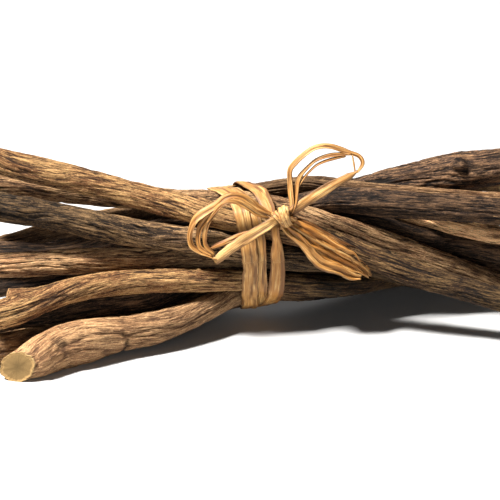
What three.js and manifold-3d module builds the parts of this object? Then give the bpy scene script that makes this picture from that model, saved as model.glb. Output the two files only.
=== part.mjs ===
// A bundle of dried licorice roots, tied round the waist with a raffia bow.
// Millimetres, +Z up. The roots run along X, the bow faces -Y, and the surface they lie on is Z = 0.

import * as THREE from 'three';
import { mergeVertices } from 'three/addons/utils/BufferGeometryUtils.js';
import Module from 'manifold-3d';

const wasm = await Module();
wasm.setup();

// Driving dimensions of the bundle
const TIE_X = 2.3; // where the raffia goes round
const TIE_Z = 30; // height of the bundle's middle there
const TIE_RADIUS = 23.8; // the roots' reach from that middle inside the raffia
const TIE_HALF_WIDTH = 6; // stretch over which the raffia squeezes the roots
const FLARE = 0.35; // how fast the roots may spread beyond it
const ROOT_GAP = 0.55; // clear space left between two roots
const FLOOR_PRESS = 0.35; // a resting root's middle lies this much lower than its radius
const FOOT_REACH = 0.6; // a root whose underside is this near to the floor rests on it
const FOOT_DEPTH = 1.9; // and its bark below this height is pressed flat there

// Settling the roots against each other
const SETTLE_ROUNDS = 420;
const SETTLE_RATE = 0.42;
const SETTLE_REACH = 26; // roots further apart than this along X cannot touch
const SETTLE_EASING = 3;

// Bark relief in the source: lengthwise ridges with furrows between them
const SEEN = { stations: 24, sides: 14 };
const HIDDEN = { stations: 18, sides: 10 };
const FURROW = 0.15; // depth of a furrow as a share of the radius
const CREST_WEAR = 0.05; // how much a crest is worn down as a share of the radius
const TWIST_PER_STATION = 0.07;

// Raffia
const RAFFIA_THICKNESS = 0.8;
const RAFFIA_CREASE = 0.5; // height of the fold along a strip
const RAFFIA_CLEAR = 0.55; // space between the raffia and the bark
const TURN_STEPS = 28;
const SLIVER = 0.03; // edges shorter than this are closed up where strips cross
const STRIP_STEP = 4.5; // length of one straight piece of a bow strip
const STRIP_HUG = 1; // a strip this close to a root lies flat against it

const BARK = {
  tan: { color: 0xa9743f, roughness: 0.82 },
  golden: { color: 0xb98345, roughness: 0.8 },
  brown: { color: 0x7d5a3c, roughness: 0.86 },
  grey: { color: 0x6d5a4a, roughness: 0.88 },
  dark: { color: 0x4a3a2f, roughness: 0.9 },
};
const RAFFIA = { color: 0xd9a65e, roughness: 0.6 };

// Every root: its radius at the left end, in the tie and at the right end, the line that its
// middle follows, how readily it gives way to its neighbours, and its swellings as
// [place along X, half width, height]. A cut leans up by its slant at the left and right end, and
// the left one turns to the front by aside.
const ROOTS = [
  {
    name: 'root_top_front', bark: 'golden', detail: SEEN,
    radii: [5.1, 5.1, 4.6], gives: 0.1, slants: [0.2, -0.3],
    path: [
      [-103, -10, 68.6], [-92, -10, 65.4], [-68.5, -11, 60.2], [-44.5, -12, 53.6], [-18.5, -13.5, 47.2],
      [TIE_X, -14, 42.8], [18.5, -14.6, 39.5], [35.5, -16, 34], [57, -19, 26.1], [75, -22.6, 21.4],
      [94.5, -27, 16.7], [108, -30, 13],
    ],
    swells: [[-78, 9, 0.35], [-30, 10, 0.3], [62, 9, 0.4]],
    stubs: [],
  },
  {
    name: 'root_upper_grey', bark: 'grey', detail: SEEN,
    radii: [5.4, 5.1, 4.6], gives: 0.4, slants: [-0.25, 0.2],
    path: [
      [-103, -22.5, 54], [-91.5, -22, 52], [-70, -21, 47.5], [-48, -20, 42], [-26, -18.5, 37.5],
      [TIE_X, -18, 34], [19, -14, 30.5], [38, -5.5, 26], [58, 2, 19.8], [80, 14, 11.2], [98, 20.5, 9.3],
    ],
    swells: [[-58, 8, 0.5], [-84, 6, 0.4]],
    stubs: [],
  },
  {
    name: 'root_middle_tan', bark: 'tan', detail: SEEN,
    radii: [4.7, 4.7, 4.4], gives: 0.4, slants: [0.1, 0.3],
    path: [
      [-102, -23, 28.8], [-92.5, -22, 28.9], [-70.5, -20, 29.5], [-48.5, -16.5, 29.2], [-22, -12, 27],
      [TIE_X, -9, 25.5], [20, -4, 22], [39, 6, 19.8], [60, 21, 21.5], [80, 22.5, 20], [98, 22.5, 19.4],
    ],
    swells: [[-64, 10, 0.4], [-90, 7, 0.3]],
    stubs: [],
  },
  {
    name: 'root_bent_tan', bark: 'golden', detail: SEEN,
    radii: [4.9, 4.1, 4], gives: 0.25, slants: [-0.35, 0.2],
    path: [
      [-92.5, -51, 19], [-80.5, -46, 22], [-72, -42, 24.5], [-63, -38, 25.8], [-55, -33, 25.4],
      [-44, -28, 24.6], [-19, -20.5, 22], [TIE_X, -17.2, 21.3], [19, -13, 19.6], [38, -4.5, 15.8],
      [60, 13, 12.5], [82, 24.5, 9], [97, 30, 8.3],
    ],
    swells: [[-86, 6, 0.5], [-22, 6, 0.45]],
    stubs: [
      { from: [-68, -40.2, 24.8], to: [-86.5, -47, 27.2], base: 3.2, tip: 2.5 },
      { from: [-21, -20.5, 22], to: [-18.4, -22.3, 26.6], base: 2.2, tip: 1.5 },
    ],
  },
  {
    name: 'root_thick_front', bark: 'brown', detail: SEEN,
    radii: [6.6, 4.7, 4.4], gives: 0.12, slants: [0.25, 0.2], aside: 0.2,
    path: [
      [-78.2, -61.5, 6.5], [-75.2, -55, 6.9], [-70, -47.5, 7.6], [-63.5, -45.4, 8], [-57, -41.5, 8.6],
      [-49, -38, 8.3], [-37, -34, 8.2], [-24, -27.5, 9.6], [-15, -21, 10], [-6, -13.5, 11.6],
      [TIE_X, -8.5, 12.6], [19, -3, 12], [38, 9, 11.3], [60, 22.5, 12.2], [82, 33, 13.6], [99, 39, 13],
    ],
    swells: [[-69, 8, 0.9], [-57, 8, 1.5], [-47.5, 2.6, -0.9], [-37, 9, 0.8]],
    stubs: [{ from: [-69.5, -50, 9], to: [-70.2, -55.8, 11.2], base: 2.6, tip: 1.7 }],
  },
  {
    name: 'root_second_top', bark: 'tan', detail: SEEN,
    radii: [4.2, 4.6, 4.8], gives: 0.15, slants: [0.3, -0.2],
    path: [
      [-105, 2.5, 53], [-96.5, 2, 52.2], [-72, 1, 50.2], [-49.5, 0, 48.4], [-19, -3, 47.2],
      [TIE_X, -4.6, 46.6], [19, -4.8, 42.8], [30, -4, 39.3], [42, -2.2, 34.7], [57, 0.6, 29.1],
      [78, 2.4, 19.6], [96, 5, 11.3], [106.5, 6.8, 5],
    ],
    swells: [[-60, 8, 0.3], [66, 8, 0.4]],
    stubs: [],
  },
  {
    name: 'root_big_top', bark: 'dark', detail: SEEN,
    radii: [4.6, 5.5, 7.7], gives: 0.4, slants: [0.2, -0.15],
    path: [
      [-99, 22, 17], [-62, 18, 28.5], [-30.5, 14.5, 38], [-15, 12.8, 41], [TIE_X, 12.4, 41.6],
      [31, 16.6, 41.8], [47, 16.8, 44.2], [62.5, 16, 48.6], [80.5, 15, 53.8], [97, 14, 56.2], [108, 14, 57],
    ],
    swells: [[79, 8, 0.7], [52, 7, 0.4]],
    stubs: [{ from: [79, 14.5, 53.8], to: [80, 7, 60], base: 3.6, tip: 2.7 }],
  },
  {
    name: 'root_top_strip', bark: 'brown', detail: SEEN,
    radii: [3.9, 3.2, 2.7], gives: 0.6, slants: [-0.3, 0.2],
    path: [
      [-107, 12, 22], [-98, 11, 24.7], [-88, 10, 28], [-63, 9, 35.7], [-51, 8, 38], [-19, 5.5, 44],
      [TIE_X, 4.2, 47], [31, 7, 47], [59, 6.8, 48.2], [77, 6.3, 47], [96, 5.8, 45.7], [104, 5.8, 45],
    ],
    swells: [],
    stubs: [],
  },
  {
    name: 'root_dark_upper', bark: 'dark', detail: SEEN,
    radii: [4.4, 4.9, 5.4], gives: 0.5, slants: [0.2, 0.25],
    path: [
      [-105, -3, 26], [-95.5, -3, 27.3], [-72.5, -5, 26.8], [-53.5, -5, 31.3], [-32.5, -4, 36.7],
      [TIE_X, 0.5, 38], [19, -1, 43], [30.5, -2, 45.2], [45.5, -3, 46], [68, -4, 46.2],
      [95, -3.5, 43.8], [106, -3, 42.5],
    ],
    swells: [[52, 9, 0.3]],
    stubs: [],
  },
  {
    name: 'root_bulged', bark: 'tan', detail: SEEN,
    radii: [4, 4, 3.6], gives: 0.12, slants: [0.2, 0.2],
    path: [
      [-98, 18, 14], [-72, 14, 18], [-45, 11, 23], [-20, 10, 28], [TIE_X, 11, 33], [30, 14.5, 31],
      [50, 16, 31], [63, 11.5, 34.5], [74, 4.5, 35.6], [82, 1, 35], [97.5, -0.5, 32.8], [107, -0.5, 31.4],
    ],
    swells: [],
    stubs: [],
  },
  {
    name: 'root_dark_middle', bark: 'dark', detail: SEEN,
    radii: [3.9, 4.6, 4.6], gives: 0.6, slants: [-0.2, 0.1],
    path: [
      [-100, -39, 12.5], [-73, -35, 14.5], [-55.5, -29, 15.8], [-37.5, -22, 16.6], [-15, -8, 22],
      [TIE_X, 1, 27.6], [25, 5, 31], [46, 7, 31], [63, 7.5, 26.8], [80.5, 7, 25.2], [96, 7, 23],
      [104, 7, 22],
    ],
    swells: [[-60, 7, 0.3]],
    stubs: [],
  },
  {
    name: 'root_dark_lower', bark: 'dark', detail: SEEN,
    radii: [4.2, 4.4, 4.3], gives: 0.6, slants: [0.3, 0.3],
    path: [
      [-98, -31, 8.5], [-75, -26, 9.5], [-50, -18, 12], [-25, -8, 15.5], [TIE_X, 0, 18.4],
      [30, 4, 22], [55, 11, 22], [78.5, 13, 20.5], [97, 13, 17.6], [106, 13, 16.5],
    ],
    swells: [[-30, 7, 0.3]],
    stubs: [],
  },
  {
    name: 'root_low_brown', bark: 'brown', detail: SEEN,
    radii: [5, 4.2, 4.2], gives: 0.7, slants: [0.2, -0.2],
    path: [
      [-98, -54, 7], [-90, -50, 7], [-79.5, -44, 7], [-69, -36, 6.4], [-56, -27, 7.5],
      [-30, -12, 8.6], [TIE_X, 3.5, 10.6], [35, 17, 8.6], [62, 30, 7], [85, 40, 5], [97, 46, 4.4],
    ],
    swells: [[-84, 5, 0.3]],
    stubs: [],
  },
  {
    name: 'root_back_low', bark: 'brown', detail: HIDDEN,
    radii: [4.9, 4.4, 4.4], gives: 1, slants: [0.3, 0.2],
    path: [
      [-99, 34, 4.9], [-75, 30, 5.6], [-50, 24, 8], [-25, 18, 12], [TIE_X, 13, 15.6], [30, 20, 17.5],
      [60, 30, 21], [85, 35, 24], [101, 36, 26],
    ],
    swells: [[-60, 8, 0.4]],
    stubs: [],
  },
  {
    name: 'root_back_middle', bark: 'tan', detail: HIDDEN,
    radii: [4.4, 4.6, 4.8], gives: 1, slants: [-0.2, 0.3],
    path: [
      [-101, 36, 15], [-75, 32, 17.5], [-50, 28, 20], [-25, 22, 24], [TIE_X, 18.4, 26.3], [28, 24, 30],
      [55, 27, 33.5], [80, 26, 37], [100, 25, 39.5],
    ],
    swells: [[58, 8, 0.4]],
    stubs: [{ from: [-58, 29, 19], to: [-57, 35, 22.5], base: 2.6, tip: 2 }],
  },
  {
    name: 'root_heart', bark: 'dark', detail: HIDDEN,
    radii: [4, 3.9, 4.2], gives: 1, slants: [0.2, 0.1],
    path: [
      [-99, -4, 12.6], [-75, 1, 15.4], [-50, 6, 19], [-25, 8.5, 22], [TIE_X, 9.8, 24.3], [28, 12, 25],
      [55, 16, 24], [80, 20, 23.5], [98, 22, 28],
    ],
    swells: [[-40, 8, 0.3]],
    stubs: [],
  },
  {
    name: 'root_back_upper', bark: 'grey', detail: HIDDEN,
    radii: [3.9, 3.7, 4.1], gives: 1, slants: [0.2, -0.3],
    path: [
      [-97, 28, 15], [-70, 26, 22], [-40, 23, 31.5], [-15, 20.5, 36], [TIE_X, 19, 36.8], [30, 24, 39],
      [60, 25.5, 43], [80, 25, 45], [98, 24, 46],
    ],
    swells: [[-50, 8, 0.35]],
    stubs: [],
  },
];

// The two turns of raffia stand upright on the front of the bundle, and slant to the left over
// its top. A turn's route is given as [turns from the front by way of the floor, X].
const FIRST_TURN = {
  width: 8.8,
  lift: 0,
  route: [
    [0, 1.6], [0.1, 1.6], [0.2, 1], [0.35, -1.5], [0.5, -3.5], [0.65, -7.5], [0.74, -10],
    [0.81, -7.5], [0.89, -2.3], [0.95, 0.8], [1, 1.6],
  ],
};
const SECOND_TURN = {
  width: 5.6,
  lift: 0.75,
  route: [
    [0, 10.6], [0.07, 11.3], [0.12, 10.8], [0.18, 8.6], [0.25, 5], [0.35, 0.5], [0.5, -3],
    [0.65, -2], [0.75, 0.6], [0.85, 4.8], [0.93, 8.4], [1, 10.6],
  ],
};

const KNOT = { centre: [13, -22, 47.6], half: [3.4, 2.8, 5], tilt: 0.22, strip: 3.4 };
const WOUND_DEPTH = 0.93; // the strip wound over the knot bites this far into its reach

// The bow's strips: the width of each, the way its broad side faces, and the points it follows
const BOW = [
  {
    width: 2.6, faces: [-0.2, -0.5, 0.8],
    path: [
      [12, -21.5, 48.5], [4.5, -22, 52.3], [-0.7, -22.3, 54.8], [-5.5, -22.5, 55.6], [-10.6, -23.3, 54.6],
      [-16.4, -24.8, 52], [-20.8, -26.3, 47.5], [-22.3, -27, 42.3], [-20.9, -27.2, 38], [-17, -27.8, 35.4],
      [-12, -28.4, 34],
    ],
  },
  {
    width: 2.2, faces: [-0.2, -0.6, 0.6],
    path: [
      [12, -22.5, 47.5], [4.5, -23.8, 50], [-2, -24.5, 51.4], [-8, -25.2, 50.6], [-13, -26, 47.6],
      [-16.2, -26.8, 43.5], [-16.4, -27.4, 39.4], [-14.5, -28.2, 36], [-11.5, -28.6, 34.2],
    ],
  },
  {
    width: 4.4, faces: [0.3, -0.8, 0.5],
    path: [
      [-13, -28.5, 33.4], [-9, -28.2, 35.3], [-5.5, -27.6, 37.1], [1.8, -26.3, 41.4],
      [7.3, -25, 45], [12.5, -22.5, 47.5],
    ],
  },
  {
    width: 2.4, faces: [-0.6, -0.5, 0.6],
    path: [
      [13.8, -20, 48], [15, -18.2, 55], [15.1, -17.2, 60.5], [16, -16.6, 65], [19.4, -16, 68.4],
      [23.4, -15.5, 71], [27.8, -15.2, 72.2], [31.8, -15.2, 72], [35.8, -15.7, 71], [39.1, -16.4, 69.2],
      [41, -17.4, 66.8], [40.4, -18.2, 64],
    ],
  },
  {
    width: 2, faces: [-0.6, -0.5, 0.6],
    path: [
      [14.4, -20, 48.5], [17.4, -17.6, 53], [18.2, -16.8, 57.5], [20, -16.4, 61.6], [22.6, -16.2, 64.6],
      [26, -15.8, 66.8], [30, -15.8, 68], [34.4, -16, 68.6], [38.6, -16.8, 68],
    ],
  },
  {
    width: 4.2, faces: [0.5, -0.8, 0.4],
    path: [
      [41, -17.8, 65.2], [39.3, -18.7, 62.4], [34.8, -19.2, 58.8], [29.3, -19.8, 55.4],
      [22, -20.6, 51.4], [14, -21, 47.8],
    ],
  },
  {
    width: 3.6, faces: [0.2, -0.9, 0.5],
    path: [
      [13.6, -21.5, 46.8], [18, -21.6, 44.6], [22.5, -21.4, 42], [28, -20.8, 38.4],
      [33.5, -20.2, 34.8], [39, -19.4, 31.2], [44.5, -18.6, 27.6],
    ],
  },
  {
    width: 2.8, faces: [0.2, -0.9, 0.4],
    path: [
      [13.4, -21.8, 45.6], [18.5, -22.6, 41.6], [23.5, -22.8, 38], [29, -22.4, 34.6],
      [34.5, -21.6, 31], [40, -20.4, 27.4], [43.5, -19.6, 25],
    ],
  },
  {
    width: 2.6, faces: [0.1, -0.9, 0.4],
    path: [
      [13, -21.8, 44.6], [17, -23, 40.4], [20.8, -23.8, 36.6], [25, -24.2, 32.4],
      [30, -23.8, 29.6], [34.6, -23, 27], [38.6, -22, 24.4],
    ],
  },
];

/** A three.js vector from a list of three numbers. */
const point = ([x, y, z]) => new THREE.Vector3(x, y, z);

/** The root's full radius at a station's X, swellings included. */
function radiusAt(root, x) {
  const [left, tie, right] = root.radii;
  const ends = [root.path[0][0], root.path[root.path.length - 1][0]];
  const share = x < TIE_X ? (TIE_X - x) / (TIE_X - ends[0]) : (x - TIE_X) / (ends[1] - TIE_X);
  const end = x < TIE_X ? left : right;
  const plain = THREE.MathUtils.lerp(tie, end, THREE.MathUtils.smoothstep(share, 0, 0.8));
  return root.swells.reduce(
    (radius, [place, halfWidth, height]) => radius + height * Math.exp(-(((x - place) / halfWidth) ** 2)),
    plain,
  );
}

/** The stations along each root's middle, with the radius at each. */
function layOut(root) {
  const curve = new THREE.CatmullRomCurve3(root.path.map(point), false, 'centripetal');
  const line = curve.getSpacedPoints(root.detail.stations - 1);
  return { ...root, line, radius: line.map((station) => radiusAt(root, station.x)) };
}

/** The nearest place on a root's middle line to a point. */
function nearest(root, from) {
  let best = { distance: Infinity };
  const along = new THREE.Vector3();
  const place = new THREE.Vector3();
  for (let k = 0; k + 1 < root.line.length; k++) {
    const start = root.line[k];
    if (Math.abs(start.x - from.x) > SETTLE_REACH) continue;
    along.subVectors(root.line[k + 1], start);
    const share = THREE.MathUtils.clamp(place.subVectors(from, start).dot(along) / along.lengthSq(), 0, 1);
    place.copy(start).addScaledVector(along, share);
    const distance = place.distanceTo(from);
    if (distance < best.distance) {
      const radius = THREE.MathUtils.lerp(root.radius[k], root.radius[k + 1], share);
      best = { distance, share, radius, index: k, at: place.clone() };
    }
  }
  return best;
}

/** Pushes one root's stations off another root, each giving way by its share. */
function pushOff(root, other, moves, otherMoves) {
  const share = root.gives / (root.gives + other.gives);
  root.line.forEach((station, k) => {
    const hit = nearest(other, station);
    const shortfall = root.radius[k] + (hit.radius ?? 0) + ROOT_GAP - hit.distance;
    if (!(shortfall > 0)) return;
    const away = station.clone().sub(hit.at).setX(0).normalize().multiplyScalar(shortfall * SETTLE_RATE);
    moves[k].addScaledVector(away, share);
    otherMoves[hit.index].addScaledVector(away, -(1 - share) * (1 - hit.share));
    otherMoves[hit.index + 1].addScaledVector(away, -(1 - share) * hit.share);
  });
}

/** Keeps a root inside the raffia at the waist, and on or above the floor. */
function holdIn(root, moves) {
  root.line.forEach((station, k) => {
    const beyond = Math.max(Math.abs(station.x - TIE_X) - TIE_HALF_WIDTH, 0);
    const reach = Math.hypot(station.y, station.z - TIE_Z);
    const excess = reach + root.radius[k] - TIE_RADIUS - FLARE * beyond;
    if (excess > 0 && beyond < TIE_HALF_WIDTH) {
      moves[k].y -= (station.y / reach) * excess * SETTLE_RATE;
      moves[k].z -= ((station.z - TIE_Z) / reach) * excess * SETTLE_RATE;
    }
    const sunk = root.radius[k] - FLOOR_PRESS - station.z;
    if (sunk > 0) moves[k].z += sunk;
  });
}

/** Spreads each station's move over its neighbours, so that a root bends and doesn't kink. */
function ease(moves) {
  for (let pass = 0; pass < SETTLE_EASING; pass++) {
    const before = moves.map((move) => move.clone());
    moves.forEach((move, k) => {
      const left = before[Math.max(k - 1, 0)];
      const right = before[Math.min(k + 1, before.length - 1)];
      move.multiplyScalar(2).add(left).add(right).divideScalar(4);
    });
  }
}

/** Settles the roots until they lie against each other without touching. */
function settle(roots) {
  for (let round = 0; round < SETTLE_ROUNDS; round++) {
    const moves = roots.map((root) => root.line.map(() => new THREE.Vector3()));
    roots.forEach((root, i) => {
      roots.forEach((other, j) => {
        if (i !== j) pushOff(root, other, moves[i], moves[j]);
      });
      holdIn(root, moves[i]);
    });
    roots.forEach((root, i) => {
      ease(moves[i]);
      root.line.forEach((station, k) => station.add(moves[i][k]));
    });
  }
}

/** The direction of a line at each of its stations. */
function tangents(line, closed = false) {
  const last = line.length - 1;
  return line.map((_, k) => {
    const before = closed ? line[(k + last) % line.length] : line[Math.max(k - 1, 0)];
    const after = closed ? line[(k + 1) % line.length] : line[Math.min(k + 1, last)];
    return after.clone().sub(before).normalize();
  });
}

/** A closed skin over rings of points: between neighbouring rings, and over both ends if it is open. */
function skin(rings, closed = false) {
  const size = rings[0].length;
  const points = rings.flat();
  const faces = [];
  const spans = closed ? rings.length : rings.length - 1;
  for (let k = 0; k < spans; k++) {
    const near = k * size;
    const far = ((k + 1) % rings.length) * size;
    for (let s = 0; s < size; s++) {
      const next = (s + 1) % size;
      faces.push(near + s, near + next, far + s, near + next, far + next, far + s);
    }
  }
  if (!closed) {
    [[0, 1], [rings.length - 1, -1]].forEach(([k, turn]) => {
      const middle = rings[k].reduce((sum, p) => sum.add(p), new THREE.Vector3()).divideScalar(size);
      const hub = points.push(middle) - 1;
      for (let s = 0; s < size; s++) {
        const [a, b] = turn > 0 ? [(s + 1) % size, s] : [s, (s + 1) % size];
        faces.push(hub, k * size + a, k * size + b);
      }
    });
  }
  const geometry = new THREE.BufferGeometry().setFromPoints(points);
  geometry.setIndex(faces);
  return geometry;
}

/** A manifold solid from a three.js geometry, turned right side out if it needs it. */
function solid(geometry) {
  const bare = geometry.clone();
  bare.deleteAttribute('normal');
  bare.deleteAttribute('uv');
  const merged = mergeVertices(bare, 1e-4);
  const vertProperties = new Float32Array(merged.attributes.position.array);
  const triVerts = new Uint32Array(merged.index.array);
  const made = new wasm.Manifold(new wasm.Mesh({ numProp: 3, vertProperties, triVerts }));
  if (made.volume() > 0) return made;
  for (let k = 0; k < triVerts.length; k += 3) triVerts.subarray(k, k + 2).reverse();
  return new wasm.Manifold(new wasm.Mesh({ numProp: 3, vertProperties, triVerts }));
}

/** The three.js geometry of a manifold solid. */
function geometryOf(made) {
  const { vertProperties, triVerts } = made.getMesh();
  const geometry = new THREE.BufferGeometry();
  geometry.setAttribute('position', new THREE.BufferAttribute(vertProperties, 3));
  geometry.setIndex(new THREE.BufferAttribute(triVerts, 1));
  geometry.computeVertexNormals();
  return geometry;
}

/** The largest body of a solid, with no loose scrap and no sealed hollow left in it. */
function filled(made) {
  return made.decompose().reduce((best, shell) => (shell.volume() > best.volume() ? shell : best));
}

/** The rings of a root's bark: crests and furrows in turn, each worn a little differently. */
function barkRings(root, seed) {
  const { line, radius, detail, slants } = root;
  const ways = tangents(line);
  let across = new THREE.Vector3(0, 0, 1);
  return line.map((station, k) => {
    across = across.clone().addScaledVector(ways[k], -across.dot(ways[k])).normalize();
    const aside = ways[k].clone().cross(across);
    const lean = k === 0 ? slants[0] : k === line.length - 1 ? slants[1] : 0;
    const sideLean = k === 0 ? (root.aside ?? 0) : 0;
    const foot = station.z - radius[k] < FOOT_REACH ? FOOT_DEPTH : 0;
    return Array.from({ length: detail.sides }, (_, s) => {
      const angle = (s * 2 * Math.PI) / detail.sides + k * TWIST_PER_STATION + seed;
      const wear = CREST_WEAR * (1 + Math.sin(1.9 * s + 0.55 * k + 2.3 * seed));
      const furrow = s % 2 ? FURROW * (0.72 + 0.28 * Math.sin(2.7 * s + 0.8 * k + seed)) : 0;
      const reach = radius[k] * (1 - wear - furrow);
      const spot = station
        .clone()
        .addScaledVector(across, Math.cos(angle) * reach)
        .addScaledVector(aside, Math.sin(angle) * reach)
        .addScaledVector(ways[k], (lean * Math.cos(angle) + sideLean * Math.sin(angle)) * reach);
      return spot.z < foot ? spot.setZ(0) : spot;
    });
  });
}

/** A short broken side root or bud. */
function stubGeometry({ from, to, base, tip }) {
  const start = point(from);
  const run = point(to).sub(start);
  const geometry = new THREE.CylinderGeometry(tip, base, run.length(), 8);
  const turn = new THREE.Quaternion().setFromUnitVectors(new THREE.Vector3(0, 1, 0), run.clone().normalize());
  geometry.applyQuaternion(turn);
  return geometry.translate(...start.addScaledVector(run, 0.5).toArray());
}

/** How far a root has moved from its first line at a place along X. */
function shiftAt(root, x) {
  const first = layOut(root).line;
  const gap = (spot) => Math.abs(spot.x - x);
  const k = first.reduce((best, spot, index) => (gap(spot) < gap(first[best]) ? index : best), 0);
  return root.line[k].clone().sub(first[k]);
}

/** One root with its side stubs, as one solid. */
function rootGeometry(root, index) {
  const bark = skin(barkRings(root, index * 0.83));
  if (root.stubs.length === 0) return bark;
  const stubs = root.stubs.map((stub) => {
    const shift = shiftAt(root, stub.from[0]);
    return solid(stubGeometry(stub).translate(shift.x, shift.y, shift.z));
  });
  return geometryOf(stubs.reduce((whole, stub) => whole.add(stub), solid(bark)));
}

/** Points round every root between two places along X, seen along X. */
function slicePoints(roots, fromX, toX) {
  const found = [];
  roots.forEach((root) => {
    for (let x = fromX; x <= toX; x += 1) {
      const k = root.line.findIndex((station) => station.x > x) - 1;
      if (k < 0) continue;
      const [near, far] = [root.line[k], root.line[k + 1]];
      const share = (x - near.x) / (far.x - near.x);
      const at = near.clone().lerp(far, share);
      const steepness = near.distanceTo(far) / (far.x - near.x);
      const radius = THREE.MathUtils.lerp(root.radius[k], root.radius[k + 1], share);
      const reach = radius * steepness + RAFFIA_CLEAR;
      for (let s = 0; s < 24; s++) {
        const angle = (s * Math.PI) / 12;
        found.push(new THREE.Vector2(at.y + reach * Math.cos(angle), at.z + reach * Math.sin(angle)));
      }
    }
  });
  return found;
}

/** The outline that a taut band takes round a set of points, by Andrew's chain. */
function tautOutline(points) {
  const sorted = [...points].sort((a, b) => a.x - b.x || a.y - b.y);
  const turns = (a, b, c) => (b.x - a.x) * (c.y - a.y) - (b.y - a.y) * (c.x - a.x);
  const half = (list) => {
    const chain = [];
    list.forEach((spot) => {
      while (chain.length > 1 && turns(chain.at(-2), chain.at(-1), spot) <= 0) chain.pop();
      chain.push(spot);
    });
    return chain.slice(0, -1);
  };
  return [...half(sorted), ...half(sorted.reverse())];
}

/** The reach of a taut outline from the tie's middle, in the direction of an angle. */
function reachAt(outline, angle) {
  const way = new THREE.Vector2(Math.cos(angle), Math.sin(angle));
  return outline.reduce((found, a, k) => {
    const b = outline[(k + 1) % outline.length];
    const edge = b.clone().sub(a);
    const start = new THREE.Vector2(a.x, a.y - TIE_Z);
    const cross = way.x * edge.y - way.y * edge.x;
    if (Math.abs(cross) < 1e-9) return found;
    const distance = (start.x * edge.y - start.y * edge.x) / cross;
    const share = (start.x * way.y - start.y * way.x) / cross;
    return distance > 0 && share >= -1e-6 && share <= 1 + 1e-6 ? Math.max(found, distance) : found;
  }, 0);
}

/** A raffia strip along a line: a flat ribbon with a fold along its middle. */
function ribbon(line, facing, width, closed = false) {
  const ways = tangents(line, closed);
  const half = width / 2;
  const profile = [
    [-half, 0], [-half * 0.5, RAFFIA_CREASE * 0.5], [0, 0], [half * 0.5, RAFFIA_CREASE * 0.5], [half, 0],
    [half, RAFFIA_THICKNESS], [half * 0.5, RAFFIA_THICKNESS + RAFFIA_CREASE], [0, RAFFIA_THICKNESS],
    [-half * 0.5, RAFFIA_THICKNESS + RAFFIA_CREASE], [-half, RAFFIA_THICKNESS],
  ];
  const rings = line.map((station, k) => {
    const across = ways[k].clone().cross(facing[k]).normalize();
    const out = across.clone().cross(ways[k]).normalize();
    return profile.map(([u, v]) => station.clone().addScaledVector(across, u).addScaledVector(out, v));
  });
  return solid(skin(rings, closed));
}

/** Lays a strip of the bow on the roots: lifts it clear of them, and turns its back to those it touches. */
function layOnRoots(line, faces, roots) {
  return line.map((station) => {
    const facing = point(faces).normalize();
    roots.forEach((root) => {
      const hit = nearest(root, station);
      const away = station.clone().sub(hit.at);
      const shortfall = hit.radius + RAFFIA_CLEAR - hit.distance;
      if (shortfall > 0) station.addScaledVector(away.normalize(), shortfall);
      if (shortfall > -STRIP_HUG) facing.addScaledVector(away.normalize(), 3);
    });
    return facing.normalize();
  });
}

/** A narrow raffia strip of the bow, with a single fold. */
function bowStrip({ width, faces, path }, roots) {
  const curve = new THREE.CatmullRomCurve3(path.map(point), false, 'centripetal');
  const line = curve.getSpacedPoints(Math.max(8, Math.round(curve.getLength() / STRIP_STEP)));
  const facing = layOnRoots(line, faces, roots);
  const ways = tangents(line);
  const half = width / 2;
  const profile = [
    [-half, 0], [0, RAFFIA_CREASE], [half, 0], [half, RAFFIA_THICKNESS],
    [0, RAFFIA_THICKNESS + RAFFIA_CREASE], [-half, RAFFIA_THICKNESS],
  ];
  const rings = line.map((station, k) => {
    const across = ways[k].clone().cross(facing[k]).normalize();
    const out = across.clone().cross(ways[k]).normalize();
    return profile.map(([u, v]) => station.clone().addScaledVector(across, u).addScaledVector(out, v));
  });
  return solid(skin(rings));
}

/** A turn of raffia round the bundle. The X of its middle follows the turn. */
function turnRound(roots, { width, lift, route }) {
  const line = [];
  const facing = [];
  for (let k = 0; k < TURN_STEPS; k++) {
    const turned = k / TURN_STEPS;
    const angle = Math.PI + turned * 2 * Math.PI;
    const x = placeOnTurn(route, turned);
    const outline = tautOutline(slicePoints(roots, x - width / 2 - 1, x + width / 2 + 1));
    const reach = reachAt(outline, angle) + lift;
    line.push(new THREE.Vector3(x, Math.cos(angle) * reach, TIE_Z + Math.sin(angle) * reach));
    facing.push(new THREE.Vector3(0, Math.cos(angle), Math.sin(angle)));
  }
  return ribbon(line, facing, width, true);
}

/** The X of a turn of raffia, eased between the places of its route. */
function placeOnTurn(route, turned) {
  const k = Math.max(route.findIndex(([place]) => place > turned) - 1, 0);
  const [[fromTurn, fromX], [toTurn, toX]] = [route[k], route[k + 1]];
  return THREE.MathUtils.lerp(fromX, toX, THREE.MathUtils.smoothstep(turned, fromTurn, toTurn));
}

/** The knot: a tight lump with a strip wound over it. */
function knotSolid() {
  const [halfX, halfY, halfZ] = KNOT.half;
  const core = new THREE.SphereGeometry(1, 12, 8).scale(halfX, halfY, halfZ).translate(...KNOT.centre);
  const line = [];
  const facing = [];
  for (let k = 0; k < 12; k++) {
    const angle = (k * Math.PI) / 6;
    const out = new THREE.Vector3(Math.cos(angle), Math.sin(angle), 0);
    const onLump = new THREE.Vector3(out.x * halfX, out.y * halfY, 0).multiplyScalar(WOUND_DEPTH);
    line.push(point(KNOT.centre).add(onLump).setZ(KNOT.centre[2] + KNOT.tilt * out.x * halfZ));
    facing.push(out);
  }
  return solid(core).add(ribbon(line, facing, KNOT.strip, true));
}

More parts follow.
